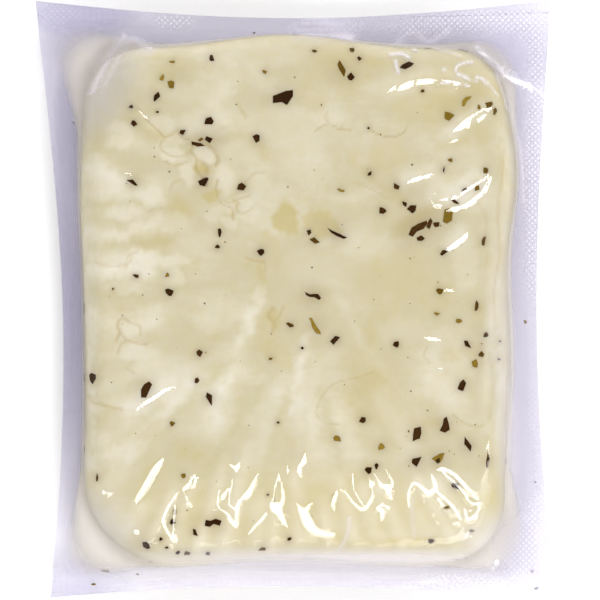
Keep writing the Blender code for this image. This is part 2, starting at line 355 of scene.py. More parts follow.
# %% The broad folds, which the cheese shares
BROAD_FOLDS = (
    (((95, 505), (130, 470), (166, 440)), 11, 0.24),
    (((118, 425), (150, 398), (180, 378)), 9, 0.34),
    (((70, 490), (150, 430), (190, 400), (215, 372)), 16, 0.35),
    (((205, 450), (222, 410), (240, 350)), 15, 0.35),
    (((262, 480), (272, 420), (280, 380)), 14, 0.22),
    (((312, 480), (310, 430), (300, 385)), 13, 0.28),
    (((360, 470), (345, 430), (332, 395)), 13, 0.30),
    (((420, 480), (395, 430), (370, 390)), 16, 0.30),
    (((470, 440), (440, 400), (410, 360)), 16, 0.22),
    (((378, 100), (420, 88), (474, 90)), 12, 0.55),
    (((440, 138), (470, 122), (500, 100)), 9, 0.40),
    (((425, 196), (455, 200), (492, 176)), 11, 0.60),
    (((395, 186), (415, 181), (440, 172)), 9, 0.35),
    (((441, 258), (455, 245), (468, 228)), 9, 0.35),
    (((86, 200), (130, 205), (170, 196)), 14, 0.25),
    (((86, 270), (125, 262), (165, 268)), 12, 0.22),
    (((90, 320), (130, 330), (175, 322)), 14, 0.25),
    (((495, 300), (488, 350), (484, 420)), 6, 0.30),
)
PLEATS = 15
PLEAT_FROM, PLEAT_TO = -42 * MM, 46 * MM
PLEAT_AIM = (-2 * MM, 6 * MM)
PLEAT_LENGTH = 24 * MM
PLEAT_HALF_WIDTH, PLEAT_HEIGHT = 7.5, 0.4  # in pixels and in mm
PLEAT_SEED = 7


def pleats():
    """Folds that fan out from the bottom edge and aim at one point of the face, in pixels."""
    draw = random.Random(PLEAT_SEED)
    made = []
    for number in range(PLEATS):
        x = PLEAT_FROM + (PLEAT_TO - PLEAT_FROM) * (number + draw.uniform(-0.22, 0.22)) / (PLEATS - 1)
        aim_x, aim_y = PLEAT_AIM[0] - x, PLEAT_AIM[1] - BLOCK_BOTTOM
        share = PLEAT_LENGTH * draw.uniform(0.55, 1.15) / math.hypot(aim_x, aim_y)
        ends = ((x, BLOCK_BOTTOM), (x + aim_x * share, BLOCK_BOTTOM + aim_y * share))
        points = [(FRAME_MIDDLE[0] + a / PIXEL, FRAME_MIDDLE[1] - b / PIXEL) for a, b in ends]
        half_width = PLEAT_HALF_WIDTH * draw.uniform(0.8, 1.25)
        made.append((points, half_width, PLEAT_HEIGHT * draw.uniform(0.6, 1.2)))
    return made


PRESSED_FOLDS = (*BROAD_FOLDS, *pleats())
SWELL_OF_FACE = 0.35 * MM
SWELL_ACROSS, SWELL_ALONG = 9 * MM, 11 * MM


def broad_relief(x, y):
    """The block's slow swell, with the broad folds on it."""
    slow = np.sin(x / SWELL_ACROSS + 1.3) * np.sin(y / SWELL_ALONG + 0.4)
    return SWELL_OF_FACE * slow + fold_relief(x, y, PRESSED_FOLDS, soft_profile)


print("broad folds and pleats:", len(PRESSED_FOLDS))

# %% The flashes, each on a sharp fold of the film
# Points of its middle line and half its width there, all in pixels.
FLASHES = (
    (
        (137, 503, 1.2), (138, 498, 2.3), (145, 487, 3.2),
        (153, 473, 3.6), (158, 465, 2.8), (164, 458, 1.4),
    ),
    (
        (178, 492, 0.8), (173, 500, 1.3), (168, 508, 1.6),
        (164, 520, 1.6), (168, 531, 1.9), (177, 543, 1.0),
    ),
    ((176, 504, 0.7), (174, 520, 0.8), (174, 533, 1.0), (177, 538, 0.8)),
    ((198, 477, 0.6), (193, 476, 1.2), (191, 481, 1.4), (187, 486, 2.6), (183, 489, 1.2)),
    ((183, 489, 0.9), (186, 494, 0.8), (188, 501, 0.9), (192, 506, 1.2)),
    ((196, 479, 0.7), (193, 487, 0.8)),
    ((231, 464, 1.2), (236, 466, 2.5), (240, 462, 1.0)),
    ((236, 466, 1.8), (237, 471, 0.8)),
    ((228, 488, 0.9), (224, 495, 2.3), (223, 499, 1.0)),
    (
        (220, 489, 0.6), (218, 499, 0.8), (220, 507, 1.0),
        (227, 512, 1.7), (231, 519, 2.3), (237, 527, 1.0),
    ),
    ((233, 480, 0.5), (230, 492, 0.7), (229, 502, 0.8), (235, 508, 1.6)),
    ((240, 498, 1.0), (238, 505, 2.2), (237, 513, 1.4), (237, 525, 0.8)),
    (
        (258, 473, 0.7), (254, 481, 1.6), (251, 488, 2.6),
        (247, 494, 3.8), (242, 498, 1.6), (239, 500, 1.0),
    ),
    ((279, 472, 0.8), (277, 479, 1.3), (274, 490, 0.9), (273, 499, 1.2)),
    ((279, 474, 0.8), (282, 486, 1.2), (283, 497, 1.7), (281, 504, 2.5)),
    ((270, 501, 1.6), (275, 505, 5.6), (280, 512, 3.4), (283, 519, 3.2), (287, 526, 1.2)),
    ((267, 511, 1.0), (262, 518, 1.9), (255, 525, 1.2), (249, 533, 0.9)),
    ((287, 465, 0.8), (288, 469, 1.4), (288, 472, 0.8)),
    ((305, 453, 1.2), (303, 461, 2.5), (299, 467, 1.8), (301, 476, 0.8)),
    (
        (296, 501, 0.8), (300, 506, 2.4), (304, 512, 4.6), (308, 520, 5.8),
        (314, 528, 4.8), (323, 532, 2.8), (335, 533, 0.8),
    ),
    ((311, 502, 0.8), (307, 507, 2.4)),
    ((337, 490, 1.4), (334, 498, 2.4), (333, 504, 1.6), (334, 509, 0.8)),
    (
        (340, 488, 0.7), (347, 493, 1.1), (354, 502, 1.5), (362, 508, 2.0),
        (368, 503, 1.7), (372, 493, 1.3), (369, 477, 1.3),
    ),
    ((372, 486, 1.2), (371, 482, 2.4), (369, 478, 1.0)),
    ((352, 473, 0.5), (353, 486, 0.5), (359, 498, 0.6), (363, 505, 0.8)),
    ((373, 471, 0.8), (380, 482, 1.7), (387, 487, 3.6), (389, 493, 2.4), (392, 499, 1.0)),
    ((385, 468, 0.6), (390, 477, 0.8), (392, 485, 1.3)),
    ((382, 503, 1.8), (377, 508, 1.6), (382, 510, 2.4), (382, 519, 0.9)),
    ((382, 503, 1.0), (388, 507, 0.6)),
    (
        (408, 505, 0.6), (408, 493, 1.0), (411, 485, 1.0), (415, 482, 1.3),
        (422, 487, 1.9), (428, 492, 2.8), (434, 489, 1.8),
    ),
    (
        (431, 474, 1.2), (434, 482, 2.2), (436, 490, 1.6),
        (445, 498, 1.3), (453, 507, 1.5), (460, 518, 1.0),
    ),
    ((437, 497, 1.2), (442, 504, 1.8)),
    (
        (437, 469, 1.0), (443, 468, 2.1), (453, 473, 1.7),
        (463, 483, 1.7), (472, 493, 1.4), (477, 499, 0.8),
    ),
    ((442, 471, 1.2), (452, 480, 1.0), (462, 490, 1.3), (470, 502, 1.3), (480, 503, 1.8)),
    ((480, 503, 1.2), (477, 511, 1.2), (471, 518, 2.1), (467, 518, 1.8), (464, 508, 1.0)),
    ((469, 510, 1.0), (471, 510, 1.0)),
    ((453, 523, 1.0), (458, 523, 0.9)),
    ((466, 535, 1.2), (470, 535, 1.2)),
    ((137, 410, 0.8), (145, 403, 1.7), (155, 397, 2.1), (165, 390, 1.7), (177, 386, 0.8)),
    ((104, 490, 0.8), (106, 492, 1.4), (108, 495, 0.8)),
    ((135, 530, 0.8), (139, 533, 1.2)),
    (
        (386, 95, 1.0), (392, 90, 2.0), (402, 87, 2.6), (412, 84, 2.9),
        (424, 82, 2.6), (438, 82, 1.8), (452, 84, 1.4), (468, 87, 0.8),
    ),
    ((436, 87, 0.6), (454, 87, 0.8), (467, 88, 0.7)),
    (
        (479, 48, 1.6), (490, 59, 1.7), (500, 71, 1.1), (506, 76, 2.1),
        (516, 80, 2.5), (530, 86, 2.8), (540, 91, 3.4), (548, 98, 2.6),
    ),
    (
        (452, 133, 1.0), (458, 129, 3.0), (464, 124, 3.0),
        (472, 117, 2.1), (480, 112, 1.7), (490, 109, 0.9),
    ),
    ((466, 128, 2.2), (474, 123, 1.7), (482, 118, 1.2), (487, 113, 0.8)),
    ((449, 144, 1.2), (453, 142, 1.9), (458, 141, 1.1)),
    ((406, 184, 1.2), (412, 181, 1.9), (420, 178, 1.9), (428, 176, 2.1), (434, 174, 1.1)),
    (
        (429, 199, 0.8), (433, 205, 1.5), (441, 207, 1.5), (450, 209, 1.7), (460, 208, 2.1),
        (470, 203, 2.3), (480, 195, 2.5), (486, 187, 2.7), (490, 177, 1.6),
    ),
    (
        (436, 200, 0.8), (448, 199, 1.0), (458, 196, 1.4),
        (466, 190, 1.4), (476, 184, 1.7), (487, 177, 1.8),
    ),
    ((433, 193, 1.2), (435, 194, 1.2)),
    ((516, 147, 0.9), (518, 155, 1.2), (518, 163, 0.9)),
    ((445, 251, 1.2), (451, 247, 2.5), (458, 242, 2.8), (464, 237, 2.1), (467, 232, 0.9)),
    ((424, 338, 0.9), (429, 338, 2.1), (435, 339, 1.9), (440, 341, 0.9)),
    ((443, 291, 1.0), (448, 290, 1.9), (453, 291, 1.0)),
    ((125, 173, 1.2), (129, 174, 1.9), (133, 177, 0.9)),
    ((139, 111, 0.8), (144, 116, 1.7), (150, 121, 0.9)),
    ((438, 368, 0.9), (441, 369, 1.2)),
    ((493, 568, 0.8), (496, 565, 1.5), (498, 562, 0.8)),
)
NARROWEST_FLASH = 1.1  # the grid of the film shows nothing finer
NARROWEST_FOLD = 2.0
FOLD_WIDTH = 1.6  # a fold's half width, as a share of its flash's
LOWEST_FOLD, FOLD_STEEPNESS = 0.08, 0.09  # a fold's height in mm, and more for each pixel of half width
FACET_REACH, FACET_FADE = 1.35, 0.7  # where a facet ends, as a share of the flash's half width


def sharp_folds():
    """The fold under each flash: the wider the flash, the wider and the higher the fold."""
    folds = []
    for points in FLASHES:
        half_width = max(NARROWEST_FOLD, FOLD_WIDTH * max(width for _, _, width in points))
        height = LOWEST_FOLD + FOLD_STEEPNESS * half_width
        folds.append(([point[:2] for point in points], half_width, height))
    return folds


def sharp_relief(x, y):
    return fold_relief(x, y, sharp_folds(), sharp_profile)


def facet_mask(x, y):
    """1 on the flat facet of each sharp fold that faces the lamp, which is as wide as its flash."""
    mask = np.zeros(x.shape)
    for points in FLASHES:
        track = smooth_line(points)
        line = np.array([at(*point[:2]) for point in track])
        half_widths = np.maximum(track[:, 2], NARROWEST_FLASH) * PIXEL
        near = near_line(x, y, line, 2 * half_widths.max())
        distance, share = line_distance(x[near], y[near], line)
        half_width = np.interp(share, np.linspace(0, 1, len(line)), half_widths)
        inside = ease((FACET_REACH - distance / half_width) / FACET_FADE)
        mask[near] = np.maximum(mask[near], inside)
    return mask


print("flashes:", len(FLASHES))

# %% Painted highlights along creases
# Points of the line and half width, in pixels, and strength from 0 to 1.
CREASE_HIGHLIGHTS = (
    (((477, 47), (498, 68), (515, 79), (532, 87), (549, 99)), 2.4, 1.0),
    (((398, 42), (414, 32), (430, 40), (447, 31)), 4.0, 0.35),
    (((390, 56), (396, 55), (403, 56), (408, 59)), 1.9, 1.0),
    (((395, 63), (396, 68), (398, 74)), 1.6, 1.0),
    (((472, 63), (464, 64), (457, 67), (455, 72), (459, 77), (466, 79), (475, 83)), 1.4, 1.0),
    (((476, 78), (482, 80), (487, 85)), 1.8, 1.0),
    (((442, 71), (445, 72)), 1.4, 0.9),
    (((413, 51), (416, 52)), 1.4, 0.9),
    (((440, 84), (454, 84), (468, 87)), 1.3, 0.9),
    (((490, 87), (497, 96)), 1.2, 0.8),
    (((435, 49), (447, 52), (458, 57)), 2.2, 0.35),
    (((306, 20), (326, 29), (350, 36)), 6.0, 0.8),
    (((124, 36), (110, 56), (92, 92)), 3.5, 0.55),
    (((118, 44), (134, 40), (150, 50)), 5.0, 0.55),
    (((122, 50), (114, 70), (104, 86)), 3.0, 0.30),
    (((484, 51), (498, 64), (518, 74)), 1.0, 0.6),
    (((411, 498), (412, 520), (415, 536)), 2.2, 0.30),
    (((349, 517), (348, 529), (344, 541), (336, 551)), 2.4, 0.45),
    (((506, 92), (521, 150), (524, 200)), 2.4, 0.35),
    (((497, 75), (508, 110)), 1.6, 0.5),
    (((505, 575), (518, 560), (525, 540)), 1.8, 0.5),
)
print("white creases:", len(CREASE_HIGHLIGHTS))

# %% Folds in the flange, which cross from the loose web into the weld
# Points of the line and half width, in pixels, and height in mm.
FLANGE_FOLDS = (
    (((476, 46), (498, 66), (515, 78), (532, 86), (552, 100)), 3.4, 0.9),
    (((300, 14), (318, 24), (346, 34)), 6.0, 0.5),
    (((396, 46), (410, 34), (420, 36)), 4.0, 0.45),
    (((424, 42), (436, 30), (448, 34)), 4.0, 0.40),
    (((520, 100), (530, 180), (527, 260)), 5.0, 0.30),
    (((56, 200), (70, 280), (66, 380)), 6.0, 0.30),
    (((150, 588), (220, 584), (330, 590)), 6.0, 0.30),
    (((380, 592), (450, 580), (500, 586)), 5.0, 0.35),
    (((500, 578), (516, 562), (526, 540)), 4.0, 0.50),
)


def flange_relief(x, y):
    return fold_relief(x, y, FLANGE_FOLDS, soft_profile)


print("folds in the flange:", len(FLANGE_FOLDS))

# %% Masks for what is painted on a piece
def line_mask(x, y, lines):
    """1 on the lines, 0 away from them, each with its own half width and strength."""
    mask = np.zeros(x.shape)
    for points, half_width, strength in lines:
        line = np.array([at(*point) for point in smooth_line(points, 5)])
        near = near_line(x, y, line, 4 * half_width * PIXEL)
        distance, _ = line_distance(x[near], y[near], line)
        mask[near] = np.maximum(mask[near], strength * np.exp(-((distance / (half_width * PIXEL)) ** 2)))
    return mask


def patch_mask(x, y, patches, edge=0.25):
    """1 inside the ellipses, 0 outside, with a soft edge."""
    mask = np.zeros(x.shape)
    for pixel_x, pixel_y, half_width, half_height, turn, strength in patches:
        middle_x, middle_y = at(pixel_x, pixel_y)
        cosine, sine = math.cos(math.radians(turn)), math.sin(math.radians(turn))
        along = ((x - middle_x) * cosine + (y - middle_y) * sine) / (half_width * PIXEL)
        across = ((y - middle_y) * cosine - (x - middle_x) * sine) / (half_height * PIXEL)
        mask = np.maximum(mask, strength * ease((1 + edge - np.hypot(along, across)) / (2 * edge)))
    return mask


sample_x, sample_y = at(np.array([100, 110, 120]), np.array([100, 100, 100]))
sample = patch_mask(sample_x, sample_y, ((100, 100, 10, 10, 0, 1.0),))
print("a patch in its middle, at its edge and beyond:", sample.round(2))

# %% [markdown]
# ## A grid of rings
#
# A web is a sheet, so it starts as a flat grid primitive. Its outermost cells form square rings, and each
# ring is laid along one contour of the pouch, from the weld up the wall. What lies inside the last ring
# is spread over the face. The cells stay neat quads all the way, also round the corners.
#
# Every vertex is then moved by the rules above. No modelling operator bends a grid like that, so this one
# step is done with arrays, as sculpting by numbers.

# %% Laying a grid on the pouch
CROWDING = 0.14  # rows lie closer at the bottom, where the folds are
FACE_STRAIGHT = 0.3  # the rows are straight over this share of the face, and then turn
RIM_ANGLE = math.radians(65)  # an edge that bends more than this, such as a cut rim, stays crisp


def start_fresh():
    """Leaves edit mode and deselects everything, since an operator acts on all that is selected."""
    if bpy.context.object and bpy.context.object.mode != "OBJECT":
        bpy.ops.object.mode_set(mode="OBJECT")
    bpy.ops.object.select_all(action="DESELECT")


def add_grid(name, columns, rows):
    """A flat grid of 2 by 2 m, to be laid out, and the column and row of each of its vertices."""
    start_fresh()
    bpy.ops.mesh.primitive_grid_add(x_subdivisions=columns, y_subdivisions=rows, size=2)
    piece = bpy.context.object
    piece.name = piece.data.name = name
    points = read_points(piece)
    return piece, np.rint((points[:, 0] + 1) / 2 * columns), np.rint((points[:, 1] + 1) / 2 * rows)


def read_points(piece):
    points = np.empty(len(piece.data.vertices) * 3)
    piece.data.vertices.foreach_get("co", points)
    return points.reshape(-1, 3)


def write_points(piece, points):
    piece.data.vertices.foreach_set("co", np.ascontiguousarray(points, dtype=np.float32).ravel())
    piece.data.update()


def read_normals(piece):
    normals = np.empty(len(piece.data.vertices) * 3)
    piece.data.vertices.foreach_get("normal", normals)
    return normals.reshape(-1, 3)


def paint(piece, name, values):
    """Writes one number on each vertex, for a material to read."""
    layer = piece.data.attributes.new(name, "FLOAT", "POINT")
    layer.data.foreach_set("value", np.ascontiguousarray(values, dtype=np.float32))


def ring_places(column, row, columns, rows, rings):
    """The ring of each vertex, counted from outside, and its (u, v) in that ring."""
    ring = np.minimum(np.minimum(column, columns - column), np.minimum(row, rows - row))
    ring = np.minimum(ring, rings)
    u, v = (column - columns / 2) / (columns / 2 - ring), (row - rows / 2) / (rows / 2 - ring)
    return ring, u, v - CROWDING * (1 - v * v)


def spread_over_face(u, v, inset):
    """Places inside the last ring: straight rows in the middle, which turn to follow the outline."""
    size = np.maximum(np.maximum(np.abs(u), np.abs(v)), 1e-9)
    edge_x, edge_y = outline(u / size, v / size, inset)
    curved_x, curved_y = MIDDLE[0] + (edge_x - MIDDLE[0]) * size, MIDDLE[1] + (edge_y - MIDDLE[1]) * size
    straight_x = MIDDLE[0] + u * ((BLOCK_RIGHT - BLOCK_LEFT) / 2 - inset)
    straight_y = MIDDLE[1] + v * ((BLOCK_TOP - BLOCK_BOTTOM) / 2 - inset)
    share = ease((size - FACE_STRAIGHT) / (1 - FACE_STRAIGHT))
    return straight_x + (curved_x - straight_x) * share, straight_y + (curved_y - straight_y) * share


def lay_web(name, columns, rows, web_rings, wall_rings, shoulder, fullness):
    """A grid laid in plan: web_rings over the loose web, wall_rings up the wall, the rest on the face."""
    piece, column, row = add_grid(name, columns, rows)
    rings = web_rings + wall_rings
    ring, u, v = ring_places(column, row, columns, rows, rings)
    web = np.clip(ring / web_rings, 0, 1) if web_rings else np.ones_like(ring)
    turn = np.clip((ring - web_rings) / wall_rings, 0, 1) * math.pi / 2
    wall = 1 - np.cos(turn) ** (2 / fullness)
    size = np.maximum(np.maximum(np.abs(u), np.abs(v)), 1e-9)
    outer_x, outer_y = weld_edge(u / size, v / size)
    block_x, block_y = outline(u / size, v / size, wall * shoulder)
    x, y = outer_x + (block_x - outer_x) * web, outer_y + (block_y - outer_y) * web
    face_x, face_y = spread_over_face(u, v, shoulder)
    inside = ring >= rings
    return piece, np.where(inside, face_x, x), np.where(inside, face_y, y), web, np.where(inside, 1.0, wall)


def push_out(piece, points, distance):
    """Writes the points, then moves each along its normal."""
    write_points(piece, points)
    write_points(piece, points + read_normals(piece) * distance[:, None])


def close_up(upper_side, lower_side, name):
    """Joins an upper and a lower side into one closed body, with a strip of faces along each open edge."""
    lower_side.data.flip_normals()
    start_fresh()
    upper_side.select_set(True)
    lower_side.select_set(True)
    bpy.context.view_layer.objects.active = upper_side
    bpy.ops.object.join()
    bpy.ops.object.mode_set(mode="EDIT")
    bpy.ops.mesh.select_mode(type="EDGE")
    bpy.ops.mesh.select_all(action="DESELECT")
    bpy.ops.mesh.select_non_manifold()
    bpy.ops.mesh.bridge_edge_loops(type="PAIRS")
    bpy.ops.mesh.select_all(action="SELECT")
    bpy.ops.mesh.normals_make_consistent(inside=False)
    bpy.ops.object.mode_set(mode="OBJECT")
    body = bpy.context.object
    body.name = body.data.name = name
    body.data.shade_smooth()
    body.data.set_sharp_from_angle(angle=RIM_ANGLE)
    return body


corner_x, corner_y = weld_edge(np.array(-1.0), np.array(1.0))
print("the weld's inner corner in mm:", round(float(corner_x) / MM, 1), round(float(corner_y) / MM, 1))

# %% [markdown]
# ## The film
#
# The two webs make one closed skin round everything in the pouch. The upper one gets the height of the
# solid's shown side and its folds, the lower one lies flat. They meet at the weld. Real film of this
# kind is 0.1 mm thick, which can't be seen, so the skin is its outer surface alone.
#
# Six numbers are painted on it for its material: where it is crumpled, where a facet faces the lamp, how
# hazy it looks, with painted shade where the flange is greyest, where the brine behind it has turned it
# white or a painted highlight lies on a crease, with painted light on the lit flange, where the knurled
# bars have left clear dots, which are painted white as glints, and how much it shines. Numbers on
# vertices stay in place when the film is reshaped.

# %% What shows in the film
# Each patch is an ellipse: its middle, half width and half height in pixels, its turn, and a strength.
# First, where the knurled bars have left clear dots, which are painted white as glints.
KNURLED_AND_GLINTING = (
    (173, 18, 22, 12, 0, 1.0),
    (60, 12, 22, 12, 0, 0.3),
    (475, 24, 100, 16, 3, 0.9),
    (525, 42, 26, 22, 0, 0.6),
    (536, 150, 14, 160, 0, 0.9),
    (536, 545, 26, 50, -20, 1.0),
    (478, 582, 50, 7, 0, 0.5),
    (535, 420, 8, 100, 0, 0.3),
)
# Where the film is crumpled.
CRUMPLED = (
    (300, 512, 185, 32, 0, 0.05),
    (440, 500, 60, 40, 0, 0.05),
    (425, 88, 62, 22, 5, 0.20),
    (484, 75, 24, 30, 0, 0.8),
    (452, 195, 52, 30, 20, 0.20),
    (470, 125, 36, 20, 30, 0.20),
    (325, 27, 34, 12, 0, 0.9),
    (510, 150, 12, 60, 0, 0.6),
)
# Where the flange looks greyest: painted shade, darkest at the left, where the block's shadow falls, over
# the film's own haze. The strength is the share of haze and shade.
GREY_HAZE_AND_SHADE = (
    (64, 300, 30, 165, 3, 0.44),
    (66, 150, 14, 90, 3, 0.40),
    (62, 120, 40, 150, 8, 0.20),
    (300, 26, 330, 40, 0, 0.29),
    (515, 52, 60, 60, 0, 0.28),
    (80, 14, 60, 22, 0, 0.54),
    (70, 590, 46, 22, 0, 0.34),
    (530, 260, 28, 290, 0, 0.24),
    (518, 535, 22, 40, 0, 0.20),
)
# Where brine between film and block makes it look grey, with painted shade in the top left corner, and where
# it makes it look white, with painted light on the lit flange at the bottom and right and a painted sheen at
# the top.
CLOUDY_AND_SHADED = ((100, 86, 30, 48, -20, 0.20), (98, 540, 46, 40, -38, 0.08))
WHITISH_AND_LIT = (
    (505, 395, 12, 150, 3, 0.40),
    (500, 545, 34, 26, 35, 0.40),
    (345, 559, 150, 9, 0, 0.66),
    (104, 535, 40, 30, -38, 0.12),
    (300, 582, 250, 16, 0, 0.50),
    (535, 560, 36, 56, 0, 0.50),
    (326, 28, 30, 12, 10, 0.5),
)
# Where the film lies so wet on the block that it hardly shines.
DULL = ((300, 520, 230, 48, 0, 0.85), (300, 30, 200, 16, 0, 0.9), (487, 510, 16, 72, -12, 0.9))
print("patches in the film:", len(KNURLED_AND_GLINTING + CRUMPLED + GREY_HAZE_AND_SHADE + CLOUDY_AND_SHADED + WHITISH_AND_LIT + DULL))

# %% How hazy, how shaded and how white the film is
LEAST_HAZE = 0.02
# How far up the wall the haze goes, at the left and top, and at the right and bottom.
WALL_HAZE_REACH = (0.10, 0.45)
WALL_FOOT, WALL_FADE = WELD_HEIGHT + FOOT + 2.5 * MM, 6 * MM


def climb(z):
    """0 at the foot of the wall and 1 well up it: folds fade out towards the foot."""
    return ease((z - WALL_FOOT) / WALL_FADE)


def whiteness_and_highlights(x, y):
    """Where brine has turned the film white, with painted highlights along creases and painted light on the
    lit flange.
    """
    return np.maximum(line_mask(x, y, CREASE_HIGHLIGHTS), patch_mask(x, y, WHITISH_AND_LIT, 0.8))


def flange_haze_and_shade(x, y):
    """The haze of the film where it hangs loose, with painted shade where the flange is greyest."""
    return np.maximum(LEAST_HAZE, patch_mask(x, y, GREY_HAZE_AND_SHADE, 0.8))


def film_haze_and_shade(x, y, wall):
    """Haze and painted shade over the flange and the foot of the wall, and over cloudy brine."""
    towards_lamp = ease((x / BLOCK_RIGHT - y / BLOCK_TOP) / 2 + 0.5)
    reach = WALL_HAZE_REACH[0] + (WALL_HAZE_REACH[1] - WALL_HAZE_REACH[0]) * towards_lamp
    return np.maximum(flange_haze_and_shade(x, y) * (1 - ease(wall / reach)), patch_mask(x, y, CLOUDY_AND_SHADED, 0.7))


print("haze in the middle of the left side:", round(float(flange_haze_and_shade(*np.array(at(64, 300)))), 2))

# %% The upper web
HALF_THICKNESS = 0.15 * MM  # of the two webs where they lie together
LOOSE_SHINE = 0.02  # of the loose web, where brine wets the film
WALL_CRUMPLE = 0.35  # how much the film is crumpled all along the wall
LOOSE_FOLD = 0.5  # how much of a sharp fold is left in the loose web
TOP_GRID, TOP_WEB_RINGS, TOP_WALL_RINGS = (280, 300), 12, 16
film_top, x, y, web, wall = lay_web(
    "film_top", *TOP_GRID, TOP_WEB_RINGS, TOP_WALL_RINGS, SHOULDER, SHOULDER_FULLNESS
)
on_wall = ease(wall / 0.2) * (1 - ease((wall - 0.5) / 0.5))
paint(film_top, "crumple", np.maximum(patch_mask(x, y, CRUMPLED, 0.5), WALL_CRUMPLE * on_wall))
facets = facet_mask(x, y)
paint(film_top, "facet", facets)
# Painted shade: the grey haze darkens the flange, most at the left, over the film's own haze.
paint(film_top, "haze", film_haze_and_shade(x, y, wall))
# Painted highlights on creases and painted light on the lit flange, with brine that turns the film white.
paint(film_top, "white", whiteness_and_highlights(x, y))
# Where the knurl dots show clear and are painted white as glints.
paint(film_top, "knurled", patch_mask(x, y, KNURLED_AND_GLINTING, 0.7) * (1 - ease(web / 0.9)))
shine = (LOOSE_SHINE + (1 - LOOSE_SHINE) * ease((wall - 0.2) / 0.7)) * (1 - patch_mask(x, y, DULL, 0.5))
paint(film_top, "shine", np.maximum(shine, facets))
z = upper_height(x, y, web, wall, HALF_THICKNESS)
z += flange_relief(x, y) * (1 - climb(z))
sharp_share = np.maximum(climb(z), LOOSE_FOLD * np.sin(math.pi * web))
folds = broad_relief(x, y) * climb(z) + sharp_relief(x, y) * sharp_share
push_out(film_top, np.stack((x, y, z), axis=1), folds)
print("highest fold in mm:", round(folds.max() / MM, 2))

# %% The lower web, and the film closed up
BACK_GRID, BACK_RINGS = (90, 100), 8
film_back, x, y, web, wall = lay_web(
    "film_back", *BACK_GRID, BACK_RINGS, BACK_RINGS, BACK_ROUND, BACK_FULLNESS
)
for name in ("crumple", "facet", "knurled", "white"):
    paint(film_back, name, np.zeros_like(x))
# Painted shade under the flange, with the film's own haze.
paint(film_back, "haze", flange_haze_and_shade(x, y) * (1 - ease(wall / 0.25)))
paint(film_back, "shine", LOOSE_SHINE + (1 - LOOSE_SHINE) * ease(wall / 0.4))
z = lower_height(x, y, web, wall, HALF_THICKNESS) + flange_relief(x, y) * (1 - ease(web))
write_points(film_back, np.stack((x, y, z), axis=1))
film = close_up(film_top, film_back, "pouch_film")
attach(film, "root")
print("film:", len(film.data.polygons), "faces")

# %% [markdown]
# ## The cheese
#
# Halloumi is pressed, cooked in its own whey and folded, and its curd keeps cracks, pale lumps and yellow
# patches. A cube with rounded edges would do from afar, but it would poke through the drawn-in film.
# So the block is laid like the webs, as an upper and a lower half a little inside them, and the halves
# are bridged where they meet.

# %% What shows in the curd
# Cracks between lumps of curd: points of the line and half width, in pixels, and depth from 0 to 1.
CRACKS = (
    (((138, 109), (150, 124), (158, 131), (166, 138), (177, 133), (184, 140), (190, 139)), 1.1, 0.6),
    (((166, 138), (160, 147), (168, 155), (180, 157), (190, 152), (193, 145)), 1.1, 0.6),
    (((190, 152), (197, 160), (196, 170), (203, 178), (207, 186)), 1.4, 0.8),
    (((203, 143), (213, 150), (218, 160), (216, 166)), 1.6, 0.8),
    (((200, 162), (207, 168), (206, 174)), 3.0, 0.7),
    (((218, 180), (216, 192), (222, 204), (232, 209), (233, 220)), 1.1, 0.7),
    (((165, 163), (176, 166), (188, 163)), 1.2, 0.5),
    (((170, 190), (174, 183), (182, 180)), 1.1, 0.5),
    (((149, 212), (155, 209), (163, 209)), 1.1, 0.5),
    (((222, 200), (230, 203), (238, 200), (250, 196)), 1.1, 0.6),
    (((238, 203), (236, 210), (243, 214), (252, 209)), 1.0, 0.5),
    (((243, 185), (255, 174), (264, 173)), 1.0, 0.5),
    (((238, 106), (242, 112), (246, 118)), 1.8, 0.5),
    (((246, 258), (256, 261), (264, 262), (265, 270)), 1.3, 0.5),
    (((315, 132), (324, 126), (330, 125), (340, 130), (350, 131)), 0.9, 0.7),
    (((330, 125), (325, 118), (327, 112)), 0.9, 0.5),
    (((340, 130), (343, 124)), 0.8, 0.5),
    (((370, 131), (378, 135), (391, 138), (402, 134), (406, 128)), 0.9, 0.8),
    (((352, 182), (368, 188), (378, 194), (386, 200)), 0.8, 0.4),
    (((130, 322), (123, 318), (118, 324), (120, 332), (117, 340)), 1.6, 0.7),
    (((120, 332), (128, 340), (138, 343), (147, 344)), 1.1, 0.7),
    (((128, 340), (121, 345), (118, 354)), 1.2, 0.5),
    (((130, 322), (140, 326), (141, 334)), 1.2, 0.5),
    (((88, 396), (94, 402), (108, 406), (122, 409)), 1.6, 0.6),
    (((126, 368), (134, 372)), 1.4, 0.4),
    (((272, 308), (268, 316), (274, 322), (272, 332)), 2.2, 0.6),
    (((283, 306), (280, 314), (274, 322)), 1.4, 0.5),
    (((372, 372), (352, 378), (334, 383), (322, 395), (316, 412), (324, 422), (340, 424)), 0.8, 0.45),
    (((426, 347), (423, 356), (429, 362)), 0.9, 0.5),
    (((452, 414), (462, 422), (474, 426), (484, 424)), 1.1, 0.6),
    (((503, 150), (501, 180), (497, 215), (499, 250), (493, 290), (494, 330)), 1.3, 0.6),
    (((488, 352), (492, 380), (489, 420)), 1.1, 0.4),
    (((478, 205), (486, 222), (483, 240), (487, 262)), 1.3, 0.4),
    (((96, 262), (108, 266), (128, 264), (132, 256)), 1.2, 0.4),
    (((126, 268), (129, 256), (138, 252)), 1.2, 0.4),
)
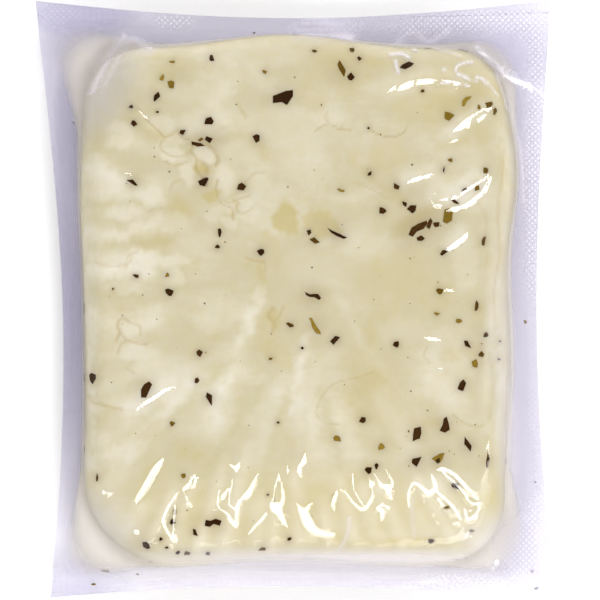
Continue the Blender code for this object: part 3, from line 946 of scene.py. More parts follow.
# Lumps of curd that stand out pale and round: middle, half width and half height in pixels, turn, strength.
LUMPS = (
    (173, 155, 12, 9, -10, 0.9), (188, 173, 7, 13, 5, 0.8), (204, 156, 12, 9, 20, 0.9),
    (173, 142, 11, 7, 0, 0.6), (163, 125, 14, 10, 0, 0.6), (226, 179, 9, 17, 5, 0.7),
    (228, 207, 7, 7, 0, 0.6), (230, 222, 9, 6, 0, 0.6), (245, 202, 8, 8, 0, 0.6),
    (248, 214, 11, 9, 0, 0.7), (258, 186, 11, 11, 0, 0.4), (215, 214, 9, 8, 0, 0.5),
    (122, 130, 14, 8, 15, 0.7), (120, 142, 13, 8, 0, 0.8), (98, 173, 10, 16, 0, 0.7),
    (113, 184, 15, 10, 0, 0.6), (152, 197, 15, 9, -10, 0.7), (173, 223, 20, 10, 0, 0.5),
    (125, 213, 18, 8, 0, 0.6), (197, 123, 16, 14, 0, 0.5), (207, 98, 24, 12, 0, 0.4),
    (240, 152, 18, 13, 0, 0.4), (142, 260, 17, 11, 0, 0.8), (175, 277, 10, 10, 0, 0.7),
    (113, 274, 14, 7, 0, 0.5), (172, 261, 18, 6, 0, 0.7), (130, 330, 9, 9, 0, 0.6),
    (138, 352, 19, 9, 0, 0.8), (150, 368, 15, 12, 0, 0.5), (260, 296, 7, 10, 0, 0.6),
    (207, 323, 13, 11, 0, 0.4), (122, 288, 20, 6, 0, 0.4), (197, 272, 14, 9, 0, 0.3),
    (250, 56, 60, 12, 0, 0.5), (330, 118, 20, 9, 0, 0.4), (372, 150, 30, 16, 0, 0.3),
    (318, 270, 30, 18, 0, 0.3), (186, 92, 16, 9, 0, 0.4), (300, 160, 26, 18, 0, 0.3),
    (140, 74, 18, 14, 0, 0.4), (465, 262, 12, 26, 0, 0.4), (470, 160, 12, 18, 0, 0.3),
    (402, 330, 24, 14, 0, 0.3), (452, 400, 16, 20, 0, 0.3),
)
# Yellow patches of drier curd: middle, half width and half height in pixels, turn, and strength.
PATCHES = (
    (286, 220, 13, 16, 15, 0.9),
    (322, 225, 20, 13, -25, 0.6),
    (202, 170, 8, 5, 0, 0.8),
    (213, 196, 9, 6, 10, 0.8),
    (275, 318, 6, 12, 10, 0.5),
    (262, 275, 4, 14, 5, 0.5),
    (180, 207, 9, 7, 0, 0.45),
    (387, 156, 20, 14, 20, 0.35),
    (152, 240, 22, 12, -10, 0.3),
    (430, 100, 45, 12, 12, 0.4),
    (413, 222, 30, 8, 35, 0.4),
    (150, 430, 14, 6, 40, 0.35),
)
print("cracks, lumps and patches:", len(CRACKS), len(LUMPS), len(PATCHES))

# %% Softer changes in the curd
# Buttery regions have the same form as the patches. Valleys between the pressed ridges, painted darker
# as shade, and the ridges, painted paler as light, are points of a line and half width, in pixels, and
# strength.
BUTTERY = (
    (400, 545, 62, 10, 0, 0.75),
    (300, 508, 200, 40, 0, 0.42),
    (450, 92, 52, 26, 12, 0.55),
    (180, 210, 12, 10, 0, 0.6),
    (395, 282, 34, 34, 0, 0.3),
    (372, 402, 36, 52, 10, 0.35),
    (340, 60, 34, 20, 0, 0.35),
    (170, 68, 20, 14, 0, 0.4),
    (150, 535, 50, 14, 0, 0.3),
)
SHADED_VALLEYS = (
    (((250, 345), (192, 398), (140, 462)), 6, 0.7),
    (((272, 375), (236, 425), (203, 476)), 5, 0.6),
    (((286, 400), (273, 440), (264, 484)), 5, 0.6),
    (((306, 410), (304, 440), (300, 470)), 4, 0.4),
    (((320, 388), (330, 428), (342, 466)), 5, 0.6),
    (((350, 372), (372, 410), (394, 446)), 5, 0.5),
    (((92, 250), (130, 247), (172, 240)), 5, 0.6),
    (((88, 205), (118, 206), (140, 203)), 6, 0.8),
    (((96, 290), (130, 297), (165, 300)), 5, 0.4),
    (((92, 400), (120, 392), (150, 372)), 5, 0.4),
    (((86, 452), (120, 440), (160, 405)), 6, 0.5),
    (((100, 505), (130, 500), (150, 490)), 5, 0.4),
    (((250, 262), (262, 285), (256, 305)), 6, 0.5),
    (((150, 150), (140, 172), (146, 190)), 5, 0.3),
    (((500, 140), (497, 220), (500, 300), (494, 380), (490, 440)), 2.5, 0.7),
    (((508, 230), (506, 300), (506, 380), (500, 460)), 2.0, 0.5),
)
LIT_RIDGES = (
    (((258, 300), (242, 345), (224, 388), (212, 404)), 7, 0.9),
    (((306, 338), (298, 375), (292, 412)), 5, 0.6),
    (((188, 380), (142, 430), (100, 490)), 5, 0.6),
    (((338, 296), (364, 345), (392, 382)), 5, 0.3),
    (((370, 350), (396, 386), (418, 412)), 5, 0.25),
    (((88, 232), (118, 236), (150, 228)), 7, 0.8),
    (((92, 272), (124, 270), (150, 274)), 7, 0.8),
    (((94, 312), (120, 316), (160, 312)), 6, 0.5),
    (((104, 170), (118, 182), (112, 194)), 9, 0.7),
    (((130, 140), (150, 150), (160, 150)), 8, 0.5),
    (((225, 120), (215, 105), (228, 90)), 9, 0.4),
    (((90, 350), (92, 420), (96, 470)), 4, 0.4),
)
# Where brine has crept up between film and block, so that the block's edge is hidden in it.
VEILED = (
    (80, 540, 40, 42, 0, 0.8),
    (80, 66, 42, 48, 0, 0.6),
    (508, 552, 34, 32, 0, 0.8),
    (345, 562, 160, 12, 0, 1.0),
)
# Brown smudges where flakes lie close together.
SMUDGES = (
    (420, 226, 24, 15, 25, 0.75),
    (206, 140, 18, 12, 10, 0.6),
    (283, 98, 16, 11, 10, 0.5),
    (330, 231, 18, 9, -25, 0.4),
    (400, 190, 20, 10, 0, 0.25),
    (345, 74, 14, 12, 0, 0.35),
    (176, 80, 10, 10, 0, 0.25),
    (210, 522, 14, 9, 0, 0.4),
    (480, 352, 10, 22, 0, 0.4),
)
print("valleys and ridges:", len(SHADED_VALLEYS), len(LIT_RIDGES))

# %% Block
GAP = 0.30 * MM  # between the block and the film
CRACK_DEPTH, LUMP_HEIGHT = 0.35 * MM, 0.12 * MM
FACE_GRID, FACE_RINGS = (270, 300), 18
UNDER_GRID, UNDER_RINGS = (90, 100), 6


def wander(x, y):
    """The same places shifted a little this way and that, so that a mask gets an uneven edge."""
    shifted_x = x + 0.35 * MM * np.sin(y / (0.9 * MM)) + 0.25 * MM * np.sin(y / (0.37 * MM))
    shifted_y = y + 0.35 * MM * np.sin(x / (0.8 * MM) + 1) + 0.2 * MM * np.sin(x / (0.33 * MM))
    return shifted_x, shifted_y


def block_half(name, upper, columns, rows, wall_rings):
    """Half of the block. Only the upper half is cracked, lumpy and pressed into folds."""
    shoulder, fullness = (SHOULDER, SHOULDER_FULLNESS) if upper else (BACK_ROUND, BACK_FULLNESS)
    piece, x, y, web, wall = lay_web(name, columns, rows, 0, wall_rings, shoulder, fullness)
    z = upper_height(x, y, web, wall) if upper else lower_height(x, y, web, wall)
    relief = np.zeros_like(x)
    if upper:
        relief = broad_relief(x, y) * climb(z) - line_mask(x, y, CRACKS) * CRACK_DEPTH
        relief += patch_mask(*wander(x, y), LUMPS, 0.4) * LUMP_HEIGHT
    push_out(piece, np.stack((x, y, z), axis=1), relief - GAP * (1 if upper else -1))
    return piece


upper_half = block_half("cheese_top", True, *FACE_GRID, FACE_RINGS)
lower_half = block_half("cheese_back", False, *UNDER_GRID, UNDER_RINGS)
cheese = close_up(upper_half, lower_half, "cheese")
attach(cheese, "root")
print("cheese:", len(cheese.data.polygons), "faces")

# %% [markdown]
# ## Mint flakes
#
# Dried mint was strewn on the curd before the block was folded and pressed. A flake is a scrap of leaf, 1 to
# 5 mm long and thin as paper, half sunk in the surface. The larger ones are where the photo has them: each
# is a middle in pixels, a length and a width, a turn, and a tone from 0, almost black, to 1, olive. The rest
# are drawn at random, on the back and the sides too.
#
# Scattering one leaf with a particle system would be quicker, but its flakes would lie level and all look
# alike. So each is cut as an uneven polygon, laid on the cheese point by point, and given its thickness
# there.

# %% The flakes that the photo shows
FLAKES = (
    (157, 98, 8, 5, 70, 0.0), (132, 108, 5, 4, 20, 0.2), (135, 124, 5, 5, 0, 0.1),
    (158, 113, 3, 2, 0, 0.1), (209, 122, 8, 7, 0, 0.0), (183, 133, 7, 5, 10, 0.1),
    (209, 140, 8, 6, 100, 0.0), (198, 145, 11, 4, -15, 0.2), (201, 140, 7, 4, 10, 0.6),
    (257, 139, 9, 7, 95, 0.1), (204, 182, 9, 8, 10, 0.0), (134, 183, 10, 6, -15, 0.1),
    (242, 188, 8, 7, 0, 0.2), (220, 233, 8, 3, 90, 0.1), (218, 247, 5, 4, 0, 0.1),
    (261, 252, 7, 6, 90, 0.0), (309, 232, 6, 4, 70, 0.2), (314, 241, 9, 5, -10, 0.4),
    (137, 276, 6, 3, -25, 0.3), (168, 275, 5, 4, 60, 0.8), (170, 292, 7, 7, 0, 0.1),
    (291, 325, 8, 5, -35, 0.4), (335, 340, 8, 8, 10, 0.1), (302, 348, 3, 3, 0, 0.0),
    (396, 344, 6, 5, 0, 0.1), (436, 314, 5, 3, 0, 0.8), (458, 321, 5, 4, 0, 0.8),
    (476, 306, 9, 4, 85, 0.4), (467, 344, 8, 6, -30, 0.1), (485, 334, 6, 4, 70, 0.3),
    (480, 354, 8, 6, 90, 0.4), (474, 363, 8, 7, 90, 0.8), (461, 385, 12, 6, 80, 0.1),
    (363, 419, 8, 5, 50, 0.2), (337, 438, 8, 5, 0, 0.8), (381, 446, 7, 6, 0, 0.9),
    (368, 470, 7, 6, 40, 0.0), (376, 466, 6, 4, 90, 0.0), (417, 433, 13, 8, 65, 0.2),
    (454, 485, 9, 6, -30, 0.0), (446, 507, 5, 4, 0, 0.6), (467, 445, 15, 6, -65, 0.1),
    (487, 460, 20, 3, 88, 0.3), (431, 540, 6, 4, 20, 0.1), (471, 530, 6, 3, 0, 0.4),
    (93, 378, 9, 7, 90, 0.1), (200, 353, 6, 5, 80, 0.3), (197, 380, 5, 4, 60, 0.3),
    (210, 398, 12, 5, 100, 0.1), (173, 423, 5, 4, 0, 0.6), (184, 475, 5, 4, 0, 0.7),
    (175, 511, 5, 4, 80, 0.6), (173, 521, 7, 6, 85, 0.0), (195, 531, 8, 4, -65, 0.1),
    (161, 539, 4, 4, 0, 0.1), (147, 545, 8, 5, -30, 0.1), (167, 547, 4, 2, 0, 0.3),
    (178, 552, 4, 3, 10, 0.1), (187, 553, 6, 4, 0, 0.4), (208, 553, 5, 3, 0, 0.3),
    (263, 548, 7, 4, 10, 0.5), (289, 538, 4, 3, 20, 0.2), (271, 358, 4, 3, 30, 0.6),
    (278, 422, 4, 2, 0, 0.3), (98, 477, 7, 2, 90, 0.4), (212, 59, 8, 5, 100, 0.1),
    (265, 73, 5, 4, 20, 0.7), (173, 63, 5, 3, 0, 0.8), (163, 79, 6, 5, 80, 0.9),
    (172, 85, 9, 6, 85, 0.7), (314, 52, 5, 3, 0, 0.4), (352, 51, 6, 4, 0, 0.4),
    (359, 60, 6, 5, 0, 0.2), (342, 70, 13, 7, -65, 0.5), (351, 78, 8, 6, 80, 0.1),
    (405, 67, 15, 5, 20, 0.0), (422, 92, 4, 3, 0, 0.4), (448, 117, 9, 8, 0, 0.7),
    (478, 108, 5, 3, 90, 0.7), (488, 106, 8, 5, 15, 0.5), (494, 112, 8, 4, 80, 0.5),
    (368, 129, 2, 2, 0, 0.2), (370, 174, 7, 4, 50, 0.1), (450, 161, 5, 3, -20, 0.6),
    (443, 170, 8, 2, 85, 0.1), (341, 191, 8, 3, -10, 0.9), (396, 187, 7, 7, 20, 0.3),
    (382, 211, 7, 6, 30, 0.2), (404, 204, 7, 4, -60, 0.1), (411, 209, 8, 7, 20, 0.1),
    (485, 171, 6, 5, 0, 0.5), (464, 190, 5, 2, 20, 0.1), (476, 188, 6, 6, 30, 0.6),
    (454, 202, 9, 3, -20, 0.2), (429, 224, 9, 5, 70, 0.3), (436, 225, 6, 6, 0, 0.3),
    (420, 239, 8, 6, 10, 0.2), (443, 252, 8, 5, 45, 0.2), (483, 241, 9, 3, 80, 0.4),
    (439, 291, 6, 5, 0, 0.5), (499, 341, 3, 2, 0, 0.3), (498, 359, 3, 2, 0, 0.3),
    (114, 289, 2, 2, 0, 0.6), (268, 494, 2, 2, 0, 0.1),
)
# The largest ones, by their outlines in pixels round the middle, x to the right and y up, and the tone.
LARGE_FLAKES = (
    ((283, 98), ((-10, -6), (-1, -5), (4, -8), (10, 1), (10, 7), (3, 6), (-10, 1)), 0.0),
    ((337, 234), ((-10, 6), (-5, 3), (2, 0), (10, -4), (6, -5), (-1, -2), (-6, 1)), 0.0),
    ((313, 296), ((-8, 4), (-5, 1), (0, 2), (5, 2), (8, -2), (6, -4), (1, -1), (-3, -1), (-7, 1)), 0.1),
    ((315, 326), ((-6, 8), (-3, 8), (0, 2), (5, -5), (6, -8), (1, -7), (-3, -1), (-4, 4)), 0.9),
    ((147, 389), ((-5, -8), (0, -8), (3, -1), (6, 5), (3, 8), (-2, 5), (-5, 0)), 0.2),
    ((213, 522), ((-8, -3), (-3, -4), (1, -1), (7, -3), (9, 2), (3, 4), (-2, 2), (-7, 3)), 0.0),
    ((444, 424), ((-5, -6), (0, -8), (5, -5), (4, 1), (2, 8), (-1, 6), (-2, 0)), 0.2),
    ((416, 461), ((-5, -1), (0, -5), (2, -1), (5, 5), (1, 4), (-4, 3)), 0.1),
    ((438, 457), ((-7, -1), (-1, -5), (3, -3), (6, 5), (1, 4), (-4, 1)), 0.8),
    ((437, 459), ((-3, -1), (0, -4), (3, -2), (2, 2), (-1, 1)), 0.1),
    ((447, 216), ((-5, -6), (-1, -8), (4, -5), (5, 3), (2, 7), (-3, 6), (-4, 0)), 0.7),
    ((418, 229), ((-10, -6), (-6, -8), (-2, -3), (5, 0), (9, 5), (8, 8), (0, 5), (-7, 1)), 0.3),
    ((416, 230), ((-7, -4), (-3, -5), (1, -1), (4, 2), (0, 3), (-5, 1)), 0.1),
    ((466, 102), ((-5, -5), (-2, -5), (-2, -1), (3, 2), (5, 5), (-1, 4), (-4, 1)), 0.95),
)
# Loose ones between the webs, out on the brine and the weld.
STRAY_FLAKES = (
    (105, 571, 9, 4, -10, 0.6), (137, 575, 4, 2, 0, 0.5), (93, 585, 5, 2, 0, 0.5),
    (86, 557, 2, 2, 0, 0.6), (73, 122, 2, 2, 0, 0.5), (526, 322, 4, 3, 0, 0.9),
    (536, 483, 2, 2, 0, 0.3), (533, 572, 3, 3, 0, 0.3), (537, 590, 6, 2, 15, 0.2),
    (514, 205, 9, 2, 88, 0.1), (513, 218, 3, 2, 90, 0.2), (254, 32, 3, 2, 0, 0.5),
)
print("flakes placed by eye:", len(FLAKES) + len(LARGE_FLAKES) + len(STRAY_FLAKES))

# %% Cutting a flake and laying it down
FLAKE_RISE, FLAKE_DEPTH = 0.10 * MM, 0.12 * MM
FLAKE_SEED = 41
flake_draw = random.Random(FLAKE_SEED)


def torn_scrap(length, width, turn):
    """A scrap's outline in metres: an uneven polygon with 4 to 7 corners."""
    corners = flake_draw.choice((4, 5, 5, 6, 7))
    points = []
    for number in range(corners):
        angle = math.tau * (number + flake_draw.uniform(-0.35, 0.35)) / corners
        reach = flake_draw.uniform(0.8, 1.45)
        along, across = math.cos(angle) * length / 2 * reach, math.sin(angle) * width / 2 * reach
        cosine, sine = math.cos(math.radians(turn)), math.sin(math.radians(turn))
        points.append((along * cosine - across * sine, along * sine + across * cosine))
    return points


def turns_left(outline_points):
    """Whether a polygon runs anticlockwise, seen from above."""
    following = [*outline_points[1:], outline_points[0]]
    return sum(x1 * y2 - x2 * y1 for (x1, y1), (x2, y2) in zip(outline_points, following)) > 0


def lay_flake(mesh, tones, tone, middle, outline_points, drop):
    """Adds one flake. drop gives the surface point and normal under or beside a place."""
    if turns_left(outline_points) == (drop is drop_from_below):
        outline_points = outline_points[::-1]
    rings = []
    for rise in (FLAKE_RISE, -FLAKE_DEPTH):
        ring = []
        for x, y in [*outline_points, (0.0, 0.0)]:
            point, normal = drop(middle, x, y)
            ring.append(mesh.verts.new(point + normal * rise))
            ring[-1][tones] = tone
        rings.append(ring)
    top, under = rings
    count = len(outline_points)
    for here in range(count):
        after = (here + 1) % count
        mesh.faces.new((top[count], top[here], top[after]))
        mesh.faces.new((under[count], under[after], under[here]))
        mesh.faces.new((top[here], under[here], under[after], top[after]))


def surface_tree(piece):
    """The piece's surface, sorted so that a ray finds it quickly."""
    mesh = bmesh.new()
    mesh.from_mesh(piece.data)
    tree = BVHTree.FromBMesh(mesh)
    mesh.free()
    return tree


print("a flake's thickness in mm:", round((FLAKE_RISE + FLAKE_DEPTH) / MM, 2))

# %% Finding the surface under a flake
cheese_tree = surface_tree(cheese)
DOWN, UP = Vector((0, 0, -1)), Vector((0, 0, 1))
ABOVE, BELOW = 50 * MM, -10 * MM  # heights that are clear of the block


def cast_ray(middle, x, y, start, direction, beside):
    """The surface met from the height start, or else the nearest point to the height beside."""
    place = (middle[0] + x, middle[1] + y)
    point, normal, _, _ = cheese_tree.ray_cast(Vector((*place, start)), direction)
    if point is None:
        point, normal, _, _ = cheese_tree.find_nearest(Vector((*place, beside)))
    return point, normal


def drop_from_above(middle, x, y):
    return cast_ray(middle, x, y, ABOVE, DOWN, WELD_HEIGHT)


def drop_from_below(middle, x, y):
    return cast_ray(middle, x, y, BELOW, UP, 0)


def drop_from_side(middle, x, y):
    """Here x runs along the side, to the left as seen from outside, and y up it."""
    outward = Vector((middle[0] / BLOCK_RIGHT, middle[1] / BLOCK_TOP, 0))
    outward = Vector((outward.x, 0, 0)) if abs(outward.x) > abs(outward.y) else Vector((0, outward.y, 0))
    outward.normalize()
    place = Vector((middle[0], middle[1], middle[2] + y)) + outward.cross(UP) * x
    point, normal, _, _ = cheese_tree.find_nearest(place)
    return point, normal


ON_THE_WELD = 53 * MM  # further out than this, nothing lifts a loose flake


def drop_between_webs(middle, x, y):
    """Loose flakes lie halfway up what lifts the web."""
    where_x, where_y = np.array(middle[0] + x), np.array(middle[1] + y)
    lift = float(puff(where_x, where_y)) * 0.5 if abs(middle[0]) < ON_THE_WELD else 0.0
    return Vector((where_x, where_y, float(weld_height(where_x, where_y)) + lift)), UP


print("top of the block over the origin in mm:", round(drop_from_above((0, 0), 0, 0)[0].z / MM, 1))

# %% Laying the flakes that the photo shows
flake_mesh = bmesh.new()
tone_layer = flake_mesh.verts.layers.float.new("tone")
for pixel_x, pixel_y, length, width, turn, tone in FLAKES:
    scrap = torn_scrap(length * PIXEL, width * PIXEL, turn)
    lay_flake(flake_mesh, tone_layer, tone, at(pixel_x, pixel_y), scrap, drop_from_above)
for middle, points, tone in LARGE_FLAKES:
    scrap = [(x * PIXEL, y * PIXEL) for x, y in points]
    lay_flake(flake_mesh, tone_layer, tone, at(*middle), scrap, drop_from_above)
for pixel_x, pixel_y, length, width, turn, tone in STRAY_FLAKES:
    scrap = torn_scrap(length * PIXEL, width * PIXEL, turn)
    lay_flake(flake_mesh, tone_layer, tone, at(pixel_x, pixel_y), scrap, drop_between_webs)
print("faces so far:", len(flake_mesh.faces))

# %% The flakes on the back and the sides
BACK_FLAKES, CRUMBS, SIDE_FLAKES = 120, 90, 44


def random_scrap(shortest, longest):
    """A scrap of a length between the two, in pixels."""
    length = flake_draw.uniform(shortest, longest) * PIXEL
    return torn_scrap(length, length * flake_draw.uniform(0.4, 0.95), flake_draw.uniform(0, 180))


for number in range(BACK_FLAKES):
    middle = (flake_draw.uniform(-0.92, 0.92) * BLOCK_RIGHT, flake_draw.uniform(-0.94, 0.94) * BLOCK_TOP)
    scrap = random_scrap(4, 14) if number % 5 else random_scrap(12, 19)
    tone = flake_draw.choice((0.0, 0.1, 0.1, 0.3, 0.6, 0.8))
    lay_flake(flake_mesh, tone_layer, tone, middle, scrap, drop_from_below)
for number in range(CRUMBS):
    middle = (flake_draw.uniform(-0.9, 0.9) * BLOCK_RIGHT, flake_draw.uniform(-0.92, 0.92) * BLOCK_TOP)
    tone = flake_draw.uniform(0.2, 0.9)
    lay_flake(flake_mesh, tone_layer, tone, middle, random_scrap(0.8, 1.8), drop_from_above)
for number in range(SIDE_FLAKES):
    along, height = flake_draw.uniform(-0.85, 0.85), flake_draw.uniform(2, 9) * MM
    u, v = ((along, -1), (1, along), (along, 1), (-1, along))[number % 4]
    side_x, side_y = outline(np.array(float(u)), np.array(float(v)))
    middle = (float(side_x), float(side_y), height)
    tone = flake_draw.uniform(0, 0.5)
    lay_flake(flake_mesh, tone_layer, tone, middle, random_scrap(4, 12), drop_from_side)
mint = bpy.data.objects.new("mint_flakes", bpy.data.meshes.new("mint_flakes"))
flake_mesh.to_mesh(mint.data)
flake_mesh.free()
bpy.context.scene.collection.objects.link(mint)
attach(mint, "root")
print("mint flakes:", len(mint.data.polygons), "faces")

# %% [markdown]
# ## Stains in the curd
#
# Each flake has let a little green-brown juice into the curd round it. The stains, the yellow patches, the
# valleys, lumps and cracks, the pressed ridges and the veil of brine at the edge could be a painted
# picture. They are numbers on the cheese's vertices instead, which its material turns into colour. The
# pressed ridges are painted light, paler on the crests of the folds, and the valleys painted shade.

# %% Painting the cheese's vertices
LARGE_REACH, SPREAD, LEAST_SPREAD = 13 * PIXEL, 0.75, 0.5 * MM
JUICE, LESS_JUICE = 0.75, 0.35  # how strongly a dark flake stains, and how much less an olive one does
points = read_points(cheese)
x, y, upper = points[:, 0], points[:, 1], points[:, 2] > WELD_HEIGHT
stain = np.zeros(len(x))
marks = [(*at(row[0], row[1]), math.sqrt(row[2] * row[3]) * PIXEL, row[5]) for row in FLAKES]
marks += [(*at(*middle), LARGE_REACH, tone) for middle, _, tone in LARGE_FLAKES]
for middle_x, middle_y, reach, tone in marks:
    spread = reach * SPREAD + LEAST_SPREAD
    distance = np.hypot(x - middle_x, y - middle_y)
    stain = np.maximum(stain, (JUICE - LESS_JUICE * tone) * np.exp(-((distance / spread) ** 2)))
paint(cheese, "stain", np.maximum(stain, patch_mask(x, y, SMUDGES, 0.9)) * upper)
uneven = wander(x, y)
butter = np.maximum(patch_mask(*uneven, PATCHES), patch_mask(*uneven, BUTTERY, 0.8))
paint(cheese, "butter", butter * upper)
# Painted shade: darker, yellower valleys between the pressed folds.
paint(cheese, "valley", line_mask(*uneven, SHADED_VALLEYS) * upper)
paint(cheese, "lump", patch_mask(*uneven, LUMPS, 0.4) * upper)
paint(cheese, "veil", patch_mask(x, y, VEILED, 0.8) * upper)
paint(cheese, "crack", line_mask(x, y, CRACKS) * upper)
# Painted light: paler on the crests of the pressed folds and along the ridges.
pressed = fold_relief(x, y, PRESSED_FOLDS, soft_profile) / SWELL_OF_FACE
pressed = np.maximum(np.clip(pressed, 0, 1) * 0.7, line_mask(*uneven, LIT_RIDGES))
paint(cheese, "pressed", pressed * upper)
print("share of the upper vertices that a flake has stained:", round(float((stain[upper] > 0.1).mean()), 2))

# %% [markdown]
# ## Brine
#
# A little milky brine stands between the webs round the block's foot, and it fills the pockets at the
# corners. A fluid simulation could fill them, but nobody would see the difference. It is a closed ring
# that lies against the block's wall. Along a side it is narrow. At a corner it spreads towards the weld.
# How milky it looks depends on its depth, which is written on its vertices.

# %% Brine ring
BRINE_REACH = {"left_top": 0.90, "right_top": 0.45, "right_bottom": 0.65, "left_bottom": 0.94}
BRINE_SIDE_REACH = 0.22
BRINE_GAP = 0.27 * MM  # to the webs
BRINE_COLUMNS, BRINE_ROWS, BRINE_STEPS = 180, 200, 10
BRINE_TUCK = 0.9 * MM  # how far its inner edge is tucked under the block's outline


def keep_outer_rings(piece, column, row, columns, rows, rings):
    """Deletes what lies inside the outermost rings of a grid."""
    inside = np.minimum(np.minimum(column, columns - column), np.minimum(row, rows - row)) > rings
    start_fresh()
    piece.select_set(True)
    bpy.context.view_layer.objects.active = piece
    bpy.ops.object.mode_set(mode="EDIT")
    bpy.ops.mesh.select_mode(type="VERT")
    bpy.ops.mesh.select_all(action="DESELECT")
    bpy.ops.object.mode_set(mode="OBJECT")
    piece.data.vertices.foreach_set("select", inside)
    bpy.ops.object.mode_set(mode="EDIT")
    bpy.ops.mesh.delete(type="VERT")
    bpy.ops.object.mode_set(mode="OBJECT")


def brine_side(name, upper):
    """The upper or the lower side of the ring, with its edges where the two sides meet."""
    piece, column, row = add_grid(name, BRINE_COLUMNS, BRINE_ROWS)
    ring, u, v = ring_places(column, row, BRINE_COLUMNS, BRINE_ROWS, BRINE_STEPS)
    share = np.clip(ring / BRINE_STEPS, 0, 1)
    size = np.maximum(np.maximum(np.abs(u), np.abs(v)), 1e-9)
    weld_x, weld_y = weld_edge(u / size, v / size)
    block_x, block_y = outline(u / size, v / size)
    cornered = np.minimum(np.abs(block_x) / BLOCK_RIGHT, np.abs(block_y) / BLOCK_TOP)
    near_corner = ease((cornered - 0.62) / 0.25)
    reach = BRINE_SIDE_REACH + (by_corner(BRINE_REACH, block_x, block_y) - BRINE_SIDE_REACH) * near_corner
    web = 1 - reach * (1 - share)
    x, y = weld_x + (block_x - weld_x) * web, weld_y + (block_y - weld_y) * web
    under_film = BRINE_GAP * (1 - (1 - share) ** 3)
    top, bottom = upper_height(x, y, web, 0), lower_height(x, y, web, 0)
    middle = (top + bottom) / 2
    swell = np.sin(math.pi / 2 * np.minimum(1, share * 3))
    surface = top - under_film if upper else bottom + under_film
    z = middle + (surface - middle) * swell
    tucked_x, tucked_y = outline(u / size, v / size, BRINE_TUCK)
    x, y = np.where(share == 1, tucked_x, x), np.where(share == 1, tucked_y, y)
    write_points(piece, np.stack((x, y, z), axis=1))
    paint(piece, "milk", ease(share * 1.25))
    keep_outer_rings(piece, column, row, BRINE_COLUMNS, BRINE_ROWS, BRINE_STEPS)
    return piece


brine = close_up(brine_side("brine_top", True), brine_side("brine_back", False), "brine")
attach(brine, "root")
print("brine:", len(brine.data.polygons), "faces")

# %% [markdown]
# ## The weld
#
# Two heated bars press the webs together, and their knurling stays in the film as slanting rows of tiny
# diamonds, a millimetre apart. A bump in the material would not show at the cut edge, so the relief is
# in the mesh. The weld is a thin closed band: an upper and a lower side with the same relief, joined
# along the cut edge and along the inner edge. It is smooth where the bars pressed less.

# %% Weld
WELD_COLUMNS, WELD_ROWS, WELD_RINGS = 400, 460, 18
KNURL_PITCH, KNURL_HEIGHT = 1.4 * MM, 0.075 * MM
# A fine seam that runs along the top of the weld: points and half width, in pixels, and share of haze.
SEAM_LINES = ((((408, 16), (480, 14), (549, 12)), 0.9, 0.45),)


def knurl(x, y, share):
    """Diamonds in rows, faded at both edges and where the bars pressed less."""
    rows = (np.cos(math.tau * x / KNURL_PITCH) + np.cos(math.tau * y / KNURL_PITCH)) / 2
    pressed = 0.5 + 0.5 * np.sin(x / (13 * MM) + 0.7) * np.sin(y / (17 * MM) - 0.6)
    edge = ease(share / 0.12) * ease((1 - share) / 0.15)
    return KNURL_HEIGHT * rows * edge * (0.35 + 0.65 * pressed)


def weld_side(name, upper):
    """The upper or the lower side of the band, from the cut edge inwards."""
    piece, column, row = add_grid(name, WELD_COLUMNS, WELD_ROWS)
    ring, u, v = ring_places(column, row, WELD_COLUMNS, WELD_ROWS, WELD_RINGS)
    share = np.clip(ring / WELD_RINGS, 0, 1)
    cut_x, cut_y = sheet(u, v)
    size = np.maximum(np.maximum(np.abs(u), np.abs(v)), 1e-9)
    inner_x, inner_y = weld_edge(u / size, v / size)
    x, y = cut_x + (inner_x - cut_x) * share, cut_y + (inner_y - cut_y) * share
    z = weld_height(x, y) + flange_relief(x, y) + knurl(x, y, share)
    z += HALF_THICKNESS if upper else -HALF_THICKNESS
    write_points(piece, np.stack((x, y, z), axis=1))
    # Painted shade in the grey haze, and painted highlights and painted light in the white and on the knurl.
    paint(piece, "haze", np.maximum(flange_haze_and_shade(x, y), line_mask(x, y, SEAM_LINES)))
    paint(piece, "knurled", patch_mask(x, y, KNURLED_AND_GLINTING, 0.7) * ease(share / 0.2))
    paint(piece, "white", whiteness_and_highlights(x, y))
    keep_outer_rings(piece, column, row, WELD_COLUMNS, WELD_ROWS, WELD_RINGS)
    return piece


weld = close_up(weld_side("weld_top", True), weld_side("weld_back", False), "weld")
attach(weld, "root")
for piece in (film, weld, cheese, brine, mint):
    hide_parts("vacuum_pack")
print("weld:", len(weld.data.polygons), "faces")

# %% [markdown]
# ## Writing materials
#
# A material is a net of nodes. It could be joined up by hand in the shader editor. In a script, sums on
# numbers read better as sums, so a small class wraps a socket and adds the Math node for each operator.
# Every other node comes from one method.

# %% Shader maths
class Wire:
    """A socket that sums can be written with."""

    def __init__(self, finish, socket):
        self.finish, self.socket = finish, socket

    def maths(self, operation, first, second=0.0):
        return self.finish.node("Math", {"operation": operation}, {0: first, 1: second}).out("Value")

    def __add__(self, other):
        return self.maths("ADD", self, other)

    def __radd__(self, other):
        return self.maths("ADD", other, self)

    def __sub__(self, other):
        return self.maths("SUBTRACT", self, other)

    def __rsub__(self, other):
        return self.maths("SUBTRACT", other, self)

    def __mul__(self, other):
        return self.maths("MULTIPLY", self, other)

    def __rmul__(self, other):
        return self.maths("MULTIPLY", other, self)

    def __pow__(self, other):
        return self.maths("POWER", self, other)

    def sine(self):
        return self.maths("SINE", self)

    def least(self, other):
        """The smaller of the two."""
        return self.maths("MINIMUM", self, other)


class Node:
    """A node, whose outputs are wires."""

    def __init__(self, finish, made):
        self.finish, self.made = finish, made

    def out(self, name):
        return Wire(self.finish, self.made.outputs[name])


